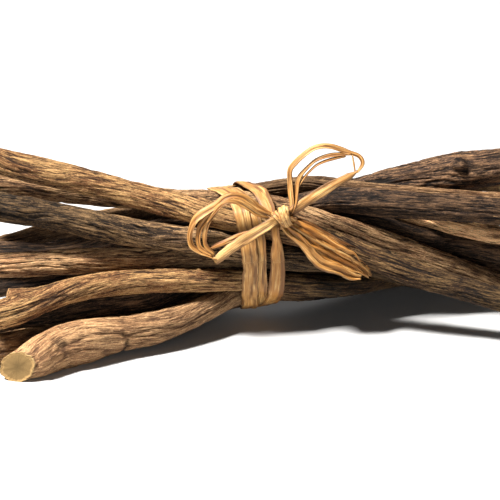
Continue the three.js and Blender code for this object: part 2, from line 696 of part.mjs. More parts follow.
/** The whole raffia tie as one solid. */
function raffiaGeometry(roots) {
  const first = turnRound(roots, FIRST_TURN);
  const second = turnRound(roots, SECOND_TURN);
  const strips = BOW.map((strip) => bowStrip(strip, roots));
  const joined = [second, knotSolid(), ...strips].reduce((whole, piece) => whole.add(piece), first);
  return geometryOf(filled(joined.simplify(SLIVER)));
}

/** A named mesh with its own material. */
function mesh(name, geometry, { color, roughness }) {
  const material = new THREE.MeshStandardMaterial({ color, roughness, metalness: 0 });
  const made = new THREE.Mesh(geometry, material);
  made.name = name;
  return made;
}

const settled = ROOTS.map(layOut);
settle(settled);

const bundle = new THREE.Group();
settled.forEach((root, index) => bundle.add(mesh(root.name, rootGeometry(root, index), BARK[root.bark])));
bundle.add(mesh('raffia_tie', raffiaGeometry(settled), RAFFIA));

// The origin is the middle of the floor under the bundle
const box = new THREE.Box3().setFromObject(bundle);
const middle = box.getCenter(new THREE.Vector3());
bundle.position.set(-middle.x, -middle.y, -box.min.z);
bundle.updateMatrixWorld(true);

export default bundle;
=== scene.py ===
"""A tied bundle of dried licorice roots: wrinkled bark, cut wood at the ends and a raffia bow."""

import logging
import math
from dataclasses import dataclass, field
from enum import Enum

import bmesh
import bpy
import numpy as np
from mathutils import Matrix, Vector
from mathutils.bvhtree import BVHTree


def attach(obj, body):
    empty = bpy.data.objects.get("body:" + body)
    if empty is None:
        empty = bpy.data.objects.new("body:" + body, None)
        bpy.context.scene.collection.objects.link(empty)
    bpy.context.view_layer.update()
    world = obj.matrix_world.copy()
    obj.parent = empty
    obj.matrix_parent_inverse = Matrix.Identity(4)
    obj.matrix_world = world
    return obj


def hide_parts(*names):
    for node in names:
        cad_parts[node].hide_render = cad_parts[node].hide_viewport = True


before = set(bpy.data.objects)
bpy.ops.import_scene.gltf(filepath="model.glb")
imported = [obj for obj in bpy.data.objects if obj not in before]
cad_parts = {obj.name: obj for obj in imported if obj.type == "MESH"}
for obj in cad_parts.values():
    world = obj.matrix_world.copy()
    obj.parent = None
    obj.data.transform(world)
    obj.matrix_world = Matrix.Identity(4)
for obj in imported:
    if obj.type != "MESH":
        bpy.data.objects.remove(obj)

log = logging.getLogger("bundle")

MM = 0.001
FULL_TURN = 2 * math.pi
CURVE_STEPS = 12
NO_FACES = np.zeros((0, 3), dtype=int)

# The bundle was laid out round the middle of its tie, with the floor at zero. This is where the
# middle of its footprint, the origin here, lies in that layout.
LAYOUT_MIDDLE = np.array([0.21, -7.32, 0.0])
TIE_X = 2.3
TIE_Z = 30.0


def placed(points: list | np.ndarray) -> np.ndarray:
    """Moves points of the layout, in millimetres, to the frame, and returns them still in millimetres."""
    return np.asarray(points, dtype=float) - LAYOUT_MIDDLE


def smoothstep(low: float, high: float, value: np.ndarray) -> np.ndarray:
    """Returns a value eased from 0 at low to 1 at high."""
    share = np.clip((value - low) / (high - low), 0.0, 1.0)
    return share * share * (3.0 - 2.0 * share)


def unit(vectors: np.ndarray) -> np.ndarray:
    """Returns vectors, whose last axis is x, y, z, scaled to length one."""
    return vectors / np.maximum(np.linalg.norm(vectors, axis=-1, keepdims=True), 1e-12)


def angles_round(count: int) -> np.ndarray:
    """Returns angles spread evenly over a full turn."""
    return np.arange(count) * FULL_TURN / count


def run_lengths(points: np.ndarray) -> np.ndarray:
    """Returns how far along a line each of its points lies."""
    return np.concatenate([[0.0], np.cumsum(np.linalg.norm(np.diff(points, axis=0), axis=1))])


def noise_track(run: np.ndarray, start: float, lane: float) -> np.ndarray:
    """Returns points on a straight track through a noise, for a value that changes along a line."""
    return np.stack([run, np.full(len(run), start), np.full(len(run), lane)], axis=1)


def noise_ring(angles: np.ndarray, radius: float, lane: float) -> np.ndarray:
    """Returns points on a ring through a noise, for a value that comes back to its start."""
    return np.stack([np.cos(angles) * radius, np.sin(angles) * radius, np.full(len(angles), lane)], axis=1)


def eased(values: np.ndarray, spread: float) -> np.ndarray:
    """Smooths values along their first axis and keeps both ends where they are.

    Args:
        values: one row for each step along a line.
        spread: how many steps the smoothing reaches, as a standard deviation.

    Returns:
        The smoothed values.
    """
    reach = min(max(int(3 * spread), 1), len(values) - 1)
    weights = np.exp(-0.5 * (np.arange(-reach, reach + 1) / spread) ** 2)
    weights /= weights.sum()
    before = 2 * values[0] - values[reach:0:-1]
    after = 2 * values[-1] - values[-2:-reach - 2:-1]
    padded = np.concatenate([before, values, after])
    rows = [padded[k:k + len(values)] * weight for k, weight in enumerate(weights)]
    return np.sum(rows, axis=0)


def along_line(points: np.ndarray, count: int) -> tuple[np.ndarray, np.ndarray]:
    """Spreads stations evenly along a line.

    Args:
        points: the line's points.
        count: how many stations to make.

    Returns:
        The stations, and the distance of each from the start.
    """
    run = run_lengths(points)
    wanted = np.linspace(0.0, run[-1], count)
    return np.stack([np.interp(wanted, run, points[:, axis]) for axis in range(3)], axis=1), wanted


def rounded(points: np.ndarray, count: int) -> np.ndarray:
    """Runs a smooth curve through given points.

    Args:
        points: the points that the curve passes through.
        count: how many stations to make on it.

    Returns:
        Evenly spread stations along the curve.
    """
    guides = np.concatenate([2 * points[:1] - points[1:2], points, 2 * points[-1:] - points[-2:-1]])
    share = np.linspace(0.0, 1.0, CURVE_STEPS, endpoint=False)[:, None]
    runs = []
    for a, b, c, d in zip(guides[:-3], guides[1:-2], guides[2:-1], guides[3:]):
        runs.append(0.5 * (2 * b + (c - a) * share + (2 * a - 5 * b + 4 * c - d) * share ** 2
                           + (3 * b - a - 3 * c + d) * share ** 3))
    stations, _ = along_line(np.concatenate([*runs, points[-1:]]), count)
    return stations


def directions(line: np.ndarray, closed: bool = False) -> np.ndarray:
    """Finds the direction of a line at each of its stations.

    Args:
        line: the stations.
        closed: whether the line comes back to its start.

    Returns:
        One unit vector for each station.
    """
    if closed:
        return unit(np.roll(line, -1, axis=0) - np.roll(line, 1, axis=0))
    return unit(np.gradient(line, axis=0))


class Grain:
    """Seeded gradient noise in space, worked out for whole arrays of points."""

    CORNERS = [(i, j, k) for i in (0, 1) for j in (0, 1) for k in (0, 1)]
    LIFT = 1.6
    PERIOD = 256

    def __init__(self, seed: int) -> None:
        """Picks the pattern.

        Args:
            seed: its number.
        """
        rng = np.random.default_rng(seed)
        self.order = np.tile(rng.permutation(self.PERIOD), 3)
        self.slopes = unit(rng.normal(size=(self.PERIOD, 3)))

    def at(self, points: np.ndarray) -> np.ndarray:
        """Reads the noise.

        Args:
            points: an array whose last axis is x, y, z, in cells of the noise.

        Returns:
            Values of about -1 to 1, in the shape of the points without their last axis.
        """
        cell = np.floor(points).astype(int)
        part = points - cell
        cell %= self.PERIOD
        fade = part ** 3 * (part * (part * 6 - 15) + 10)
        total = np.zeros(points.shape[:-1])
        for corner in self.CORNERS:
            spot = np.zeros(total.shape, dtype=int)
            for axis, side in enumerate(corner):
                spot = self.order[spot + cell[..., axis] + side]
            value = (self.slopes[spot] * (part - np.array(corner))).sum(axis=-1)
            weight = np.ones(total.shape)
            for axis, side in enumerate(corner):
                weight = weight * (fade[..., axis] if side else 1 - fade[..., axis])
            total += weight * value
        return total * self.LIFT


class BarkTone(Enum):
    """The bark finishes of the bundle, by the record's material slots."""

    GOLDEN = "bark_golden"
    TAN = "bark_tan"
    BROWN = "bark_brown"
    GREY = "bark_grey"
    DARK = "bark_dark"


@dataclass(frozen=True)
class NoiseKind:
    """A stretched noise: its cells for each unit of the coordinates, its octaves and its roughness."""

    scale: tuple[float, float, float]
    detail: float
    roughness: float


class Wiring:
    """Adds nodes to a tree and joins them, so that a finish reads from top to bottom."""

    def __init__(self, tree: bpy.types.NodeTree) -> None:
        """Takes the node tree that is filled."""
        self.tree = tree

    def add(self, kind: str, inputs: dict | None = None, **settings: object) -> bpy.types.Node:
        """Adds one node.

        Args:
            kind: the node's type name.
            inputs: by socket name or number, a value, or a socket to join.
            settings: the node's own properties.

        Returns:
            The new node.
        """
        node = self.tree.nodes.new(kind)
        for name, value in settings.items():
            setattr(node, name, value)
        for name, value in (inputs or {}).items():
            if isinstance(value, bpy.types.NodeSocket):
                self.tree.links.new(value, node.inputs[name])
            else:
                node.inputs[name].default_value = value
        return node

    def math(self, operation: str, *values: object) -> bpy.types.NodeSocket:
        """Adds a Math node for numbers or sockets and returns the socket of its result."""
        return self.add("ShaderNodeMath", dict(enumerate(values)), operation=operation).outputs[0]

    def step(self, value: object, span: tuple[float, float]) -> bpy.types.NodeSocket:
        """Eases a value from 0 to 1 over a span of it and returns the socket of the result."""
        inputs = {"Value": value, "From Min": span[0], "From Max": span[1]}
        return self.add("ShaderNodeMapRange", inputs, interpolation_type="SMOOTHSTEP").outputs[0]

    def sway(self, value: object, noise: object, pull: float) -> bpy.types.NodeSocket:
        """Moves a value up and down with a noise and returns the socket of the result."""
        return self.math("MULTIPLY_ADD", self.math("SUBTRACT", noise, 0.5), pull, value)

    def lines(self, noise: object, span: tuple[float, float]) -> bpy.types.NodeSocket:
        """Marks the thin lines where a noise crosses its middle and returns the socket of the mask."""
        away = self.math("ABSOLUTE", self.math("SUBTRACT", noise, 0.5))
        return self.math("SUBTRACT", 1.0, self.step(away, span))

    def mix(self, share: object, under: object, over: object, blend: str = "MIX") -> bpy.types.NodeSocket:
        """Mixes a share of one colour over another and returns the socket of the result."""
        inputs = {0: share, 6: under, 7: over}
        return self.add("ShaderNodeMix", inputs, data_type="RGBA", blend_type=blend).outputs[2]

    def cover(
        self, mask: object, share: float, under: object, over: object, blend: str = "MIX"
    ) -> bpy.types.NodeSocket:
        """Lays a colour over another where a mask shows and returns the socket of the result."""
        return self.mix(self.math("MULTIPLY", mask, share), under, over, blend)

    def scale(self, color: object, share: object) -> bpy.types.NodeSocket:
        """Makes a colour lighter or darker and returns its socket."""
        return self.add("ShaderNodeVectorMath", {0: color, "Scale": share}, operation="SCALE").outputs[0]

    def attribute(self, name: str, output: str = "Fac") -> bpy.types.NodeSocket:
        """Reads a value stored on the mesh and returns the socket that carries it."""
        return self.add("ShaderNodeAttribute", attribute_name=name).outputs[output]

    def noise(self, space: object, kind: NoiseKind) -> bpy.types.NodeSocket:
        """Reads a stretched noise.

        Args:
            space: the socket of the coordinates.
            kind: the noise.

        Returns:
            The socket of the noise value.
        """
        mapped = self.add("ShaderNodeMapping", {"Vector": space, "Scale": kind.scale}).outputs[0]
        inputs = {"Vector": mapped, "Scale": 1.0, "Detail": kind.detail, "Roughness": kind.roughness}
        return self.add("ShaderNodeTexNoise", inputs).outputs["Fac"]

    def coat(
        self, shader: bpy.types.Node, color: object, height: object, relief: float, strength: float = 0.8
    ) -> None:
        """Gives a shader its colour and its relief.

        Args:
            shader: the material's Principled shader.
            color: the socket of the colour.
            height: the socket of the relief's height.
            relief: how deep the relief is, in metres.
            strength: how strongly it shows.
        """
        bump = self.add("ShaderNodeBump", {"Height": height, "Distance": relief, "Strength": strength})
        self.tree.links.new(color, shader.inputs["Base Color"])
        self.tree.links.new(bump.outputs["Normal"], shader.inputs["Normal"])


def new_material(
    name: str, shine: float, roughness: float = 0.5
) -> tuple[bpy.types.Material, Wiring, bpy.types.Node]:
    """Starts a material.

    Args:
        name: the material's name.
        shine: its specular level.
        roughness: its roughness, where nothing is joined to it.

    Returns:
        The material, its wiring and its Principled shader.
    """
    made = bpy.data.materials.new(name)
    made.use_nodes = True
    shader = made.node_tree.nodes["Principled BSDF"]
    shader.inputs["Roughness"].default_value = roughness
    shader.inputs["Specular IOR Level"].default_value = shine
    return made, Wiring(made.node_tree), shader


def new_group(name: str, takes: dict, gives: dict) -> tuple[bpy.types.NodeTree, Wiring, bpy.types.Node]:
    """Starts a shader node group with named sockets.

    Args:
        name: the group's name.
        takes: input name to socket type.
        gives: output name to socket type.

    Returns:
        The group, its wiring and its input node.
    """
    group = bpy.data.node_groups.new(name, "ShaderNodeTree")
    for label, kind in takes.items():
        group.interface.new_socket(label, in_out="INPUT", socket_type=kind)
    for label, kind in gives.items():
        group.interface.new_socket(label, in_out="OUTPUT", socket_type=kind)
    wiring = Wiring(group)
    return group, wiring, wiring.add("NodeGroupInput")


NUMBER = "NodeSocketFloat"
COLOR = "NodeSocketColor"
VECTOR = "NodeSocketVector"
Tint = tuple[float, float, float]
Span = tuple[float, float]


@dataclass(frozen=True)
class BarkPattern:
    """The effect that all barks share: ridges, dark furrows that are partly painted shade in the valleys,
    chips, fine fibres and a pale cut rim, scaled by each root's tone and painted light.
    """

    # Noises in bark space, whose last coordinate runs along the root
    streaks: NoiseKind = NoiseKind((1.9, 1.9, 0.1), 7.0, 0.7)
    fibres: NoiseKind = NoiseKind((6.0, 6.0, 0.34), 3.0, 0.65)
    threads: NoiseKind = NoiseKind((2.6, 2.6, 0.12), 4.0, 0.6)
    patches: NoiseKind = NoiseKind((0.16, 0.16, 0.06), 3.0, 0.55)
    specks: NoiseKind = NoiseKind((2.6, 2.6, 1.1), 3.0, 0.7)
    rings: NoiseKind = NoiseKind((0.6, 0.6, 2.1), 3.0, 0.6)
    # What draws the bark to the colour of its ridges; the relief's pull is painted shade that keeps the
    # valleys off the ridge colour
    patch_pull: float = 0.9
    fibre_pull: float = 0.95
    relief_pull: float = -0.12
    # What draws it down into the colour of its furrows: the relief as painted shade in the valleys, the
    # noises as the furrows' own dark
    relief_depth: float = 0.55
    fibre_depth: float = 1.1
    streak_depth: float = 1.5
    line_depth: float = 0.42
    # The span over which each mask opens, and how much of it shows
    ridge_span: Span = (0.36, 0.66)
    ring_span: Span = (0.56, 0.7)
    line_span: Span = (0.0, 0.04)
    furrow_span: Span = (0.16, 0.56)
    chip_span: Span = (0.54, 0.62)
    rim_span: Span = (0.5, 0.72)
    ring_share: float = 0.4
    furrow_share: float = 0.92
    chip_share: float = 0.6
    rim_share: float = 0.85
    rim_ragged: float = 1.6
    # How high each noise stands, against the streaks
    fibre_height: float = 0.8
    speck_height: float = 0.3
    line_height: float = -0.35
    # Ridges darken less than the rest where the bark's tone or its painted shade makes it dark
    ridge_shade: float = 0.6
    roughness: float = 0.62
    fibre_roughness: float = 0.25

    def group(self) -> bpy.types.NodeTree:
        """Makes the effect's node group.

        Returns:
            The node group.
        """
        takes = {
            "Space": VECTOR, "Relief": NUMBER, "Shade": NUMBER, "Rim": NUMBER,
            "Ridge": COLOR, "Body": COLOR, "Furrow": COLOR, "Wood": COLOR,
        }
        gives = {"Color": COLOR, "Roughness": NUMBER, "Height": NUMBER}
        group, wire, given = new_group("weathered_bark", takes, gives)
        space, relief, shade = (given.outputs[name] for name in ("Space", "Relief", "Shade"))
        # The lightness attribute scales the colours: the bark's own tone together with painted shade and
        # painted light
        ridge = wire.scale(given.outputs["Ridge"], wire.math("POWER", shade, self.ridge_shade))
        body, furrow = (wire.scale(given.outputs[name], shade) for name in ("Body", "Furrow"))
        kinds = (self.streaks, self.fibres, self.threads, self.patches, self.specks, self.rings)
        streaks, fibres, threads, patches, specks, rings = (wire.noise(space, kind) for kind in kinds)
        light = wire.sway(wire.sway(streaks, patches, self.patch_pull), fibres, self.fibre_pull)
        light = wire.math("MULTIPLY_ADD", relief, self.relief_pull, light)
        base = wire.mix(wire.step(light, self.ridge_span), body, ridge)
        base = wire.cover(wire.step(rings, self.ring_span), self.ring_share, base, body)
        lines = wire.lines(threads, self.line_span)
        # The relief paints shade into the bark's valleys; the noises give the furrows' own dark colour
        depth = wire.math("MULTIPLY", relief, self.relief_depth)
        depth = wire.sway(wire.sway(depth, fibres, -self.fibre_depth), streaks, -self.streak_depth)
        depth = wire.math("MULTIPLY_ADD", lines, self.line_depth, depth)
        sunk = wire.step(depth, self.furrow_span)
        color = wire.cover(sunk, self.furrow_share, base, furrow)
        chips = wire.math("MULTIPLY", wire.step(specks, self.chip_span), wire.math("SUBTRACT", 1.0, sunk))
        color = wire.cover(chips, self.chip_share, color, ridge, "SCREEN")
        bare = wire.sway(given.outputs["Rim"], specks, self.rim_ragged)
        color = wire.cover(wire.step(bare, self.rim_span), self.rim_share, color, given.outputs["Wood"])
        height = wire.math("MULTIPLY_ADD", fibres, self.fibre_height, streaks)
        height = wire.math("MULTIPLY_ADD", specks, self.speck_height, height)
        height = wire.math("MULTIPLY_ADD", lines, self.line_height, height)
        rough = wire.math("MULTIPLY_ADD", fibres, self.fibre_roughness, self.roughness)
        wire.add("NodeGroupOutput", {"Color": color, "Roughness": rough, "Height": height})
        return group


@dataclass(frozen=True)
class BarkFinish:
    """Dry bark in one tone: the colours of its ridges, its body, its furrows and the wood it bares. The
    furrow colour is partly the furrows' own dark and partly painted shade in the valleys.
    """

    tone: BarkTone
    ridge: Tint
    body: Tint
    furrow: Tint
    wood: Tint = (0.44, 0.3, 0.13)
    relief: float = 0.34 * MM
    strength: float = 0.9
    shine: float = 0.2

    def material(self, group: bpy.types.NodeTree) -> bpy.types.Material:
        """Makes the bark's material.

        Args:
            group: the effect that all barks share.

        Returns:
            The material.
        """
        made, wire, shader = new_material(self.tone.value, self.shine)
        inputs = {
            "Ridge": (*self.ridge, 1.0), "Body": (*self.body, 1.0), "Furrow": (*self.furrow, 1.0),
            "Wood": (*self.wood, 1.0), "Space": wire.attribute("bark_space", "Vector"),
            **{name.title(): wire.attribute(name) for name in ("relief", "shade", "rim")},
        }
        bark = wire.add("ShaderNodeGroup", inputs, node_tree=group)
        wire.coat(shader, bark.outputs["Color"], bark.outputs["Height"], self.relief, self.strength)
        wire.tree.links.new(bark.outputs["Roughness"], shader.inputs["Roughness"])
        return made


# The near-black furrow colours are partly the furrows' own dark and partly painted shade in the valleys
FINISHES = [
    BarkFinish(BarkTone.GOLDEN, (0.58, 0.33, 0.13), (0.235, 0.1, 0.038), (0.022, 0.01, 0.0045)),
    BarkFinish(BarkTone.TAN, (0.48, 0.285, 0.135), (0.185, 0.092, 0.042), (0.015, 0.008, 0.004)),
    BarkFinish(BarkTone.BROWN, (0.47, 0.272, 0.128), (0.265, 0.136, 0.061), (0.085, 0.04, 0.02)),
    BarkFinish(BarkTone.GREY, (0.34, 0.198, 0.088), (0.074, 0.04, 0.0195), (0.0065, 0.004, 0.0026)),
    BarkFinish(BarkTone.DARK, (0.185, 0.1, 0.05), (0.036, 0.019, 0.0115), (0.0045, 0.0028, 0.002)),
]


@dataclass(frozen=True)
class CutWoodFinish:
    """The yellow wood of a cut end: pale rays, a darker heart and a rim under the bark."""

    pale: Tint = (0.36, 0.22, 0.085)
    heart: Tint = (0.13, 0.08, 0.028)
    pore: Tint = (0.045, 0.027, 0.01)
    reach: float = 5.0
    # The rays are read round the middle, the others across the face
    rays: NoiseKind = NoiseKind((9.0, 9.0, 0.7), 4.0, 0.65)
    clouds: NoiseKind = NoiseKind((0.5, 0.5, 0.5), 4.0, 0.6)
    pores: NoiseKind = NoiseKind((4.5, 4.5, 1.0), 3.0, 0.7)
    cloud_pull: float = 0.35
    heart_span: Span = (0.25, 0.9)
    heart_share: float = 0.35
    rim_span: Span = (0.95, 1.1)
    ray_span: Span = (0.48, 0.66)
    ray_share: float = 0.45
    pore_span: Span = (0.52, 0.68)
    pore_share: float = 0.6
    relief_share: float = 0.6
    relief: float = 0.25 * MM
    shine: float = 0.25
    roughness: float = 0.85

    def material(self) -> bpy.types.Material:
        """Makes the cut wood's material.

        Returns:
            The material.
        """
        made, wire, shader = new_material("cut_wood", self.shine, self.roughness)
        space = wire.attribute("bark_space", "Vector")
        split = wire.add("ShaderNodeSeparateXYZ", {0: space})
        x, y = split.outputs[0], split.outputs[1]
        away = wire.math("SQRT", wire.math("ADD", wire.math("MULTIPLY", x, x), wire.math("MULTIPLY", y, y)))
        share = wire.math("DIVIDE", away, self.reach)
        turn = wire.math("ARCTAN2", y, x)
        round_middle = {0: wire.math("COSINE", turn), 1: wire.math("SINE", turn), 2: share}
        rays = wire.noise(wire.add("ShaderNodeCombineXYZ", round_middle).outputs[0], self.rays)
        pores = wire.noise(space, self.pores)
        clouded = wire.math("MULTIPLY_ADD", wire.noise(space, self.clouds), self.cloud_pull, share)
        outer = wire.math("MULTIPLY", wire.step(clouded, self.heart_span), self.heart_share)
        outer = wire.math("ADD", outer, wire.step(clouded, self.rim_span))
        pale, heart, pore = ((*color, 1.0) for color in (self.pale, self.heart, self.pore))
        color = wire.mix(outer, heart, pale)
        color = wire.cover(wire.step(rays, self.ray_span), self.ray_share, color, heart)
        color = wire.cover(wire.step(pores, self.pore_span), self.pore_share, color, pore)
        height = wire.math("MULTIPLY", wire.math("SUBTRACT", rays, pores), self.relief_share)
        wire.coat(shader, color, height, self.relief)
        return made


@dataclass(frozen=True)
class RaffiaFinish:
    """Dry raffia with fine fibres along each strip: pale where it is fresh, orange where it has aged."""

    pale: Tint = (0.68, 0.43, 0.165)
    straw: Tint = (0.37, 0.19, 0.055)
    orange: Tint = (0.37, 0.145, 0.024)
    # The colour of the painted shade in the folds, at the strip edges and on the undersides, and of the
    # splits
    deep: Tint = (0.085, 0.028, 0.007)
    # Noises in strip space: across the strip, along it and from strip to strip
    fibres: NoiseKind = NoiseKind((3.6, 0.07, 1.0), 4.0, 0.6)
    threads: NoiseKind = NoiseKind((9.0, 0.2, 1.0), 3.0, 0.6)
    stains: NoiseKind = NoiseKind((0.35, 0.09, 1.0), 3.0, 0.6)
    splits: NoiseKind = NoiseKind((1.1, 0.03, 1.0), 2.0, 0.5)
    thread_pull: float = 0.45
    stain_pull: float = 0.7
    age_pull: float = -0.14
    fold_pull: float = -0.9
    pale_span: Span = (0.38, 0.68)
    fold_span: Span = (0.25, 1.0)
    fold_share: float = 0.72
    split_span: Span = (0.004, 0.02)
    split_share: float = 0.55
    fibre_height: float = 0.7
    thread_height: float = 0.5
    relief: float = 0.16 * MM
    shine: float = 0.35
    roughness: float = 0.5

    def material(self) -> bpy.types.Material:
        """Makes the raffia's material.

        Returns:
            The material.
        """
        made, wire, shader = new_material("raffia", self.shine, self.roughness)
        space = wire.attribute("strip_space", "Vector")
        fold, age = wire.attribute("fold"), wire.attribute("age")
        kinds = (self.fibres, self.threads, self.stains, self.splits)
        fibres, threads, stains, splits = (wire.noise(space, kind) for kind in kinds)
        light = wire.sway(wire.sway(fibres, threads, self.thread_pull), stains, self.stain_pull)
        light = wire.math("MULTIPLY_ADD", age, self.age_pull, light)
        colors = (self.pale, self.straw, self.orange, self.deep)
        pale, straw, orange, deep = ((*color, 1.0) for color in colors)
        color = wire.mix(wire.step(light, self.pale_span), wire.mix(age, straw, orange), pale)
        # Painted shade from the fold attribute, in the folds, at the edges and on the undersides
        sunk = wire.sway(fold, light, self.fold_pull)
        color = wire.cover(wire.step(sunk, self.fold_span), self.fold_share, color, deep)
        color = wire.cover(wire.lines(splits, self.split_span), self.split_share, color, deep)
        height = wire.math("MULTIPLY", threads, self.thread_height)
        height = wire.math("MULTIPLY_ADD", fibres, self.fibre_height, height)
        wire.coat(shader, color, height, self.relief)
        return made


def fill_mesh(name: str, points: np.ndarray, quads: np.ndarray, triangles: np.ndarray) -> bpy.types.Mesh:
    """Makes a mesh from arrays.

    Args:
        name: the mesh's name.
        points: its corners, in millimetres.
        quads: four corners a face.
        triangles: three corners a face.

    Returns:
        The mesh, in metres, with smooth faces, the quads first.
    """
    made = bpy.data.meshes.new(name)
    loops = np.concatenate([quads.ravel(), triangles.ravel()]).astype(np.int32)
    sizes = np.concatenate([np.full(len(quads), 4), np.full(len(triangles), 3)]).astype(np.int32)
    starts = np.concatenate([[0], np.cumsum(sizes)[:-1]]).astype(np.int32)
    made.vertices.add(len(points))
    made.vertices.foreach_set("co", (points * MM).astype(np.float32).ravel())
    made.loops.add(len(loops))
    made.loops.foreach_set("vertex_index", loops)
    made.polygons.add(len(sizes))
    made.polygons.foreach_set("loop_start", starts)
    made.polygons.foreach_set("use_smooth", np.ones(len(sizes), dtype=bool))
    made.update(calc_edges=True)
    made.validate()
    return made


def add_values(mesh: bpy.types.Mesh, name: str, values: np.ndarray) -> None:
    """Stores a number or a vector at each corner point of a mesh.

    Args:
        mesh: the mesh.
        name: the attribute's name.
        values: one number or one vector for each point.
    """
    vector = values.ndim == 2
    layer = mesh.attributes.new(name, "FLOAT_VECTOR" if vector else "FLOAT", "POINT")
    layer.data.foreach_set("vector" if vector else "value", values.astype(np.float32).ravel())


def grid_faces(rows: int, columns: int, closed_rows: bool = False, start: int = 0) -> np.ndarray:
    """Lists the quads of a sheet that is rolled up across its columns.

    Args:
        rows: rings along the sheet.
        columns: points in a ring.
        closed_rows: whether the last ring meets the first.
        start: the number of the first point.

    Returns:
        Four corners a face.
    """
    spans = rows if closed_rows else rows - 1
    row, column = np.meshgrid(np.arange(spans), np.arange(columns), indexing="ij")
    here, after, beside = row * columns, (row + 1) % rows * columns, (column + 1) % columns
    corners = [here + column, here + beside, after + beside, after + column]
    return start + np.stack([corner.ravel() for corner in corners], axis=1)


def linked(name: str, data: bpy.types.ID) -> bpy.types.Object:
    """Makes an object and adds it to the scene.

    Args:
        name: the object's name.
        data: its mesh, light or camera.

    Returns:
        The new object.
    """
    made = bpy.data.objects.new(name, data)
    bpy.context.scene.collection.objects.link(made)
    return made


def face_out(piece: bpy.types.Object) -> None:
    """Turns a closed mesh right side out.

    Args:
        piece: the object whose mesh is checked.
    """
    work = bmesh.new()
    work.from_mesh(piece.data)
    bmesh.ops.recalc_face_normals(work, faces=work.faces)
    work.to_mesh(piece.data)
    work.free()


class CadTube:
    """Reads the middle line and the reach of a root from its solid."""

    SLICES = 46
    END_MARGIN = 3.2
    SIDES = 24
    # Rays longer than this share of the middle one have met a stump or a lump
    STUMP_SHARE = 1.12
    CENTRINGS = 2
    CENTRE_EASE = 1.2

    def __init__(self, node: str) -> None:
        """Reads the solid's corners and faces.

        Args:
            node: the name of the root's solid.
        """
        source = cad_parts[node]
        mesh = source.data
        corners = np.empty(len(mesh.vertices) * 3, dtype=np.float32)
        mesh.vertices.foreach_get("co", corners)
        turn = np.array(source.matrix_world)
        self.corners = (corners.reshape(-1, 3) @ turn[:3, :3].T + turn[:3, 3]) / MM
        mesh.calc_loop_triangles()
        faces = np.empty(len(mesh.loop_triangles) * 3, dtype=np.int32)
        mesh.loop_triangles.foreach_get("vertices", faces)
        self.faces = faces.reshape(-1, 3)
        self.tree = BVHTree.FromPolygons(self.corners.tolist(), self.faces.tolist())

    def slice_middle(self, x: float) -> np.ndarray:
        """Finds the middle of the section at a place along X.

        Args:
            x: the place, in millimetres.

        Returns:
            The middle of the section's outline.
        """
        sides = self.corners[self.faces]
        hits = []
        for a, b in ((0, 1), (1, 2), (2, 0)):
            start, end = sides[:, a], sides[:, b]
            cross = (start[:, 0] - x) * (end[:, 0] - x) < 0
            share = ((x - start[cross, 0]) / (end[cross, 0] - start[cross, 0]))[:, None]
            hits.append(start[cross] + (end[cross] - start[cross]) * share)
        found = np.concatenate(hits)
        return (found.min(axis=0) + found.max(axis=0)) / 2

    def cast(self, start: np.ndarray, way: np.ndarray) -> tuple[float, np.ndarray]:
        """Looks from inside the root for its skin.

        Args:
            start: a point inside.
            way: the direction looked in.

        Returns:
            The distance to the skin, and the skin's normal there.
        """
        _, normal, _, distance = self.tree.ray_cast(Vector(start), Vector(way))
        return (distance or 0.0), (np.array(normal) if normal else way)

    def section_middle(self, spot: np.ndarray, rays: np.ndarray) -> np.ndarray:
        """Moves a point to the middle of the section that it lies in.

        Args:
            spot: a point inside the root.
            rays: directions spread over the section.

        Returns:
            The middle, as the rays find it.
        """
        reach = np.array([self.cast(spot, ray)[0] for ray in rays])
        reach = np.minimum(reach, np.median(reach) * self.STUMP_SHARE)
        return spot + (rays * reach[:, None]).mean(axis=0) * 2

    def middle_line(self) -> tuple[np.ndarray, list[np.ndarray]]:
        """Finds the root's middle line from cut end to cut end.

        Returns:
            The line's points, and the outward normals of the left and the right cut.
        """
        low, high = self.corners[:, 0].min() + self.END_MARGIN, self.corners[:, 0].max() - self.END_MARGIN
        line = np.array([self.slice_middle(x) for x in np.linspace(low, high, self.SLICES)])
        for _ in range(self.CENTRINGS):
            section_rays = rays_round(directions(line), self.SIDES)
            middles = [self.section_middle(spot, rays) for spot, rays in zip(line, section_rays)]
            line = eased(np.array(middles), self.CENTRE_EASE)
        ways = directions(line)
        ends, normals = [], []
        for spot, way in ((line[0], -ways[0]), (line[-1], ways[-1])):
            distance, normal = self.cast(spot, way)
            ends.append(spot + way * distance)
            normals.append(normal)
        return np.concatenate([[ends[0]], line, [ends[1]]]), normals


def rays_round(ways: np.ndarray, sides: int) -> np.ndarray:
    """Spreads rays round a line, square to it, and carries them along it without turning them.

    Args:
        ways: the line's direction at each station.
        sides: how many rays each station has.

    Returns:
        The direction of each ray, for each station and side.
    """
    across = np.empty_like(ways)
    carried = np.array([0.0, 0.0, 1.0])
    for k, way in enumerate(ways):
        carried = unit(carried - way * (carried @ way))
        across[k] = carried
    aside = np.cross(ways, across)
    turns = angles_round(sides)[None, :, None]
    return np.cos(turns) * across[:, None] + np.sin(turns) * aside[:, None]


@dataclass(frozen=True)
class Valleys:
    """One kind of valley in bark, where a noise crosses zero."""

    # Cells to the millimetre, round the root twice and along it
    cells: tuple[float, float, float]
    half: float
    sharpness: float
    depth: float
    # How much painted shade the valley puts into the bark's colour
    dark: float

    def share(self, grain: Grain, space: np.ndarray, shift: np.ndarray | float) -> np.ndarray:
        """Works out where the valleys lie.

        Args:
            grain: the noise.
            space: the bark's coordinates.
            shift: what bends the noise.

        Returns:
            How deep in a valley each point lies, from 0 to 1.
        """
        return np.clip(1 - np.abs(grain.at(space * self.cells + shift)) / self.half, 0, 1) ** self.sharpness


GROOVES = Valleys((0.42, 0.42, 0.04), 0.24, 1.3, 0.6, 0.6)
CREASES = Valleys((0.8, 0.8, 0.075), 0.3, 1.2, 0.36, 0.42)
SPLITS = Valleys((0.34, 0.34, 0.018), 0.05, 1.0, 0.5, 0.9)


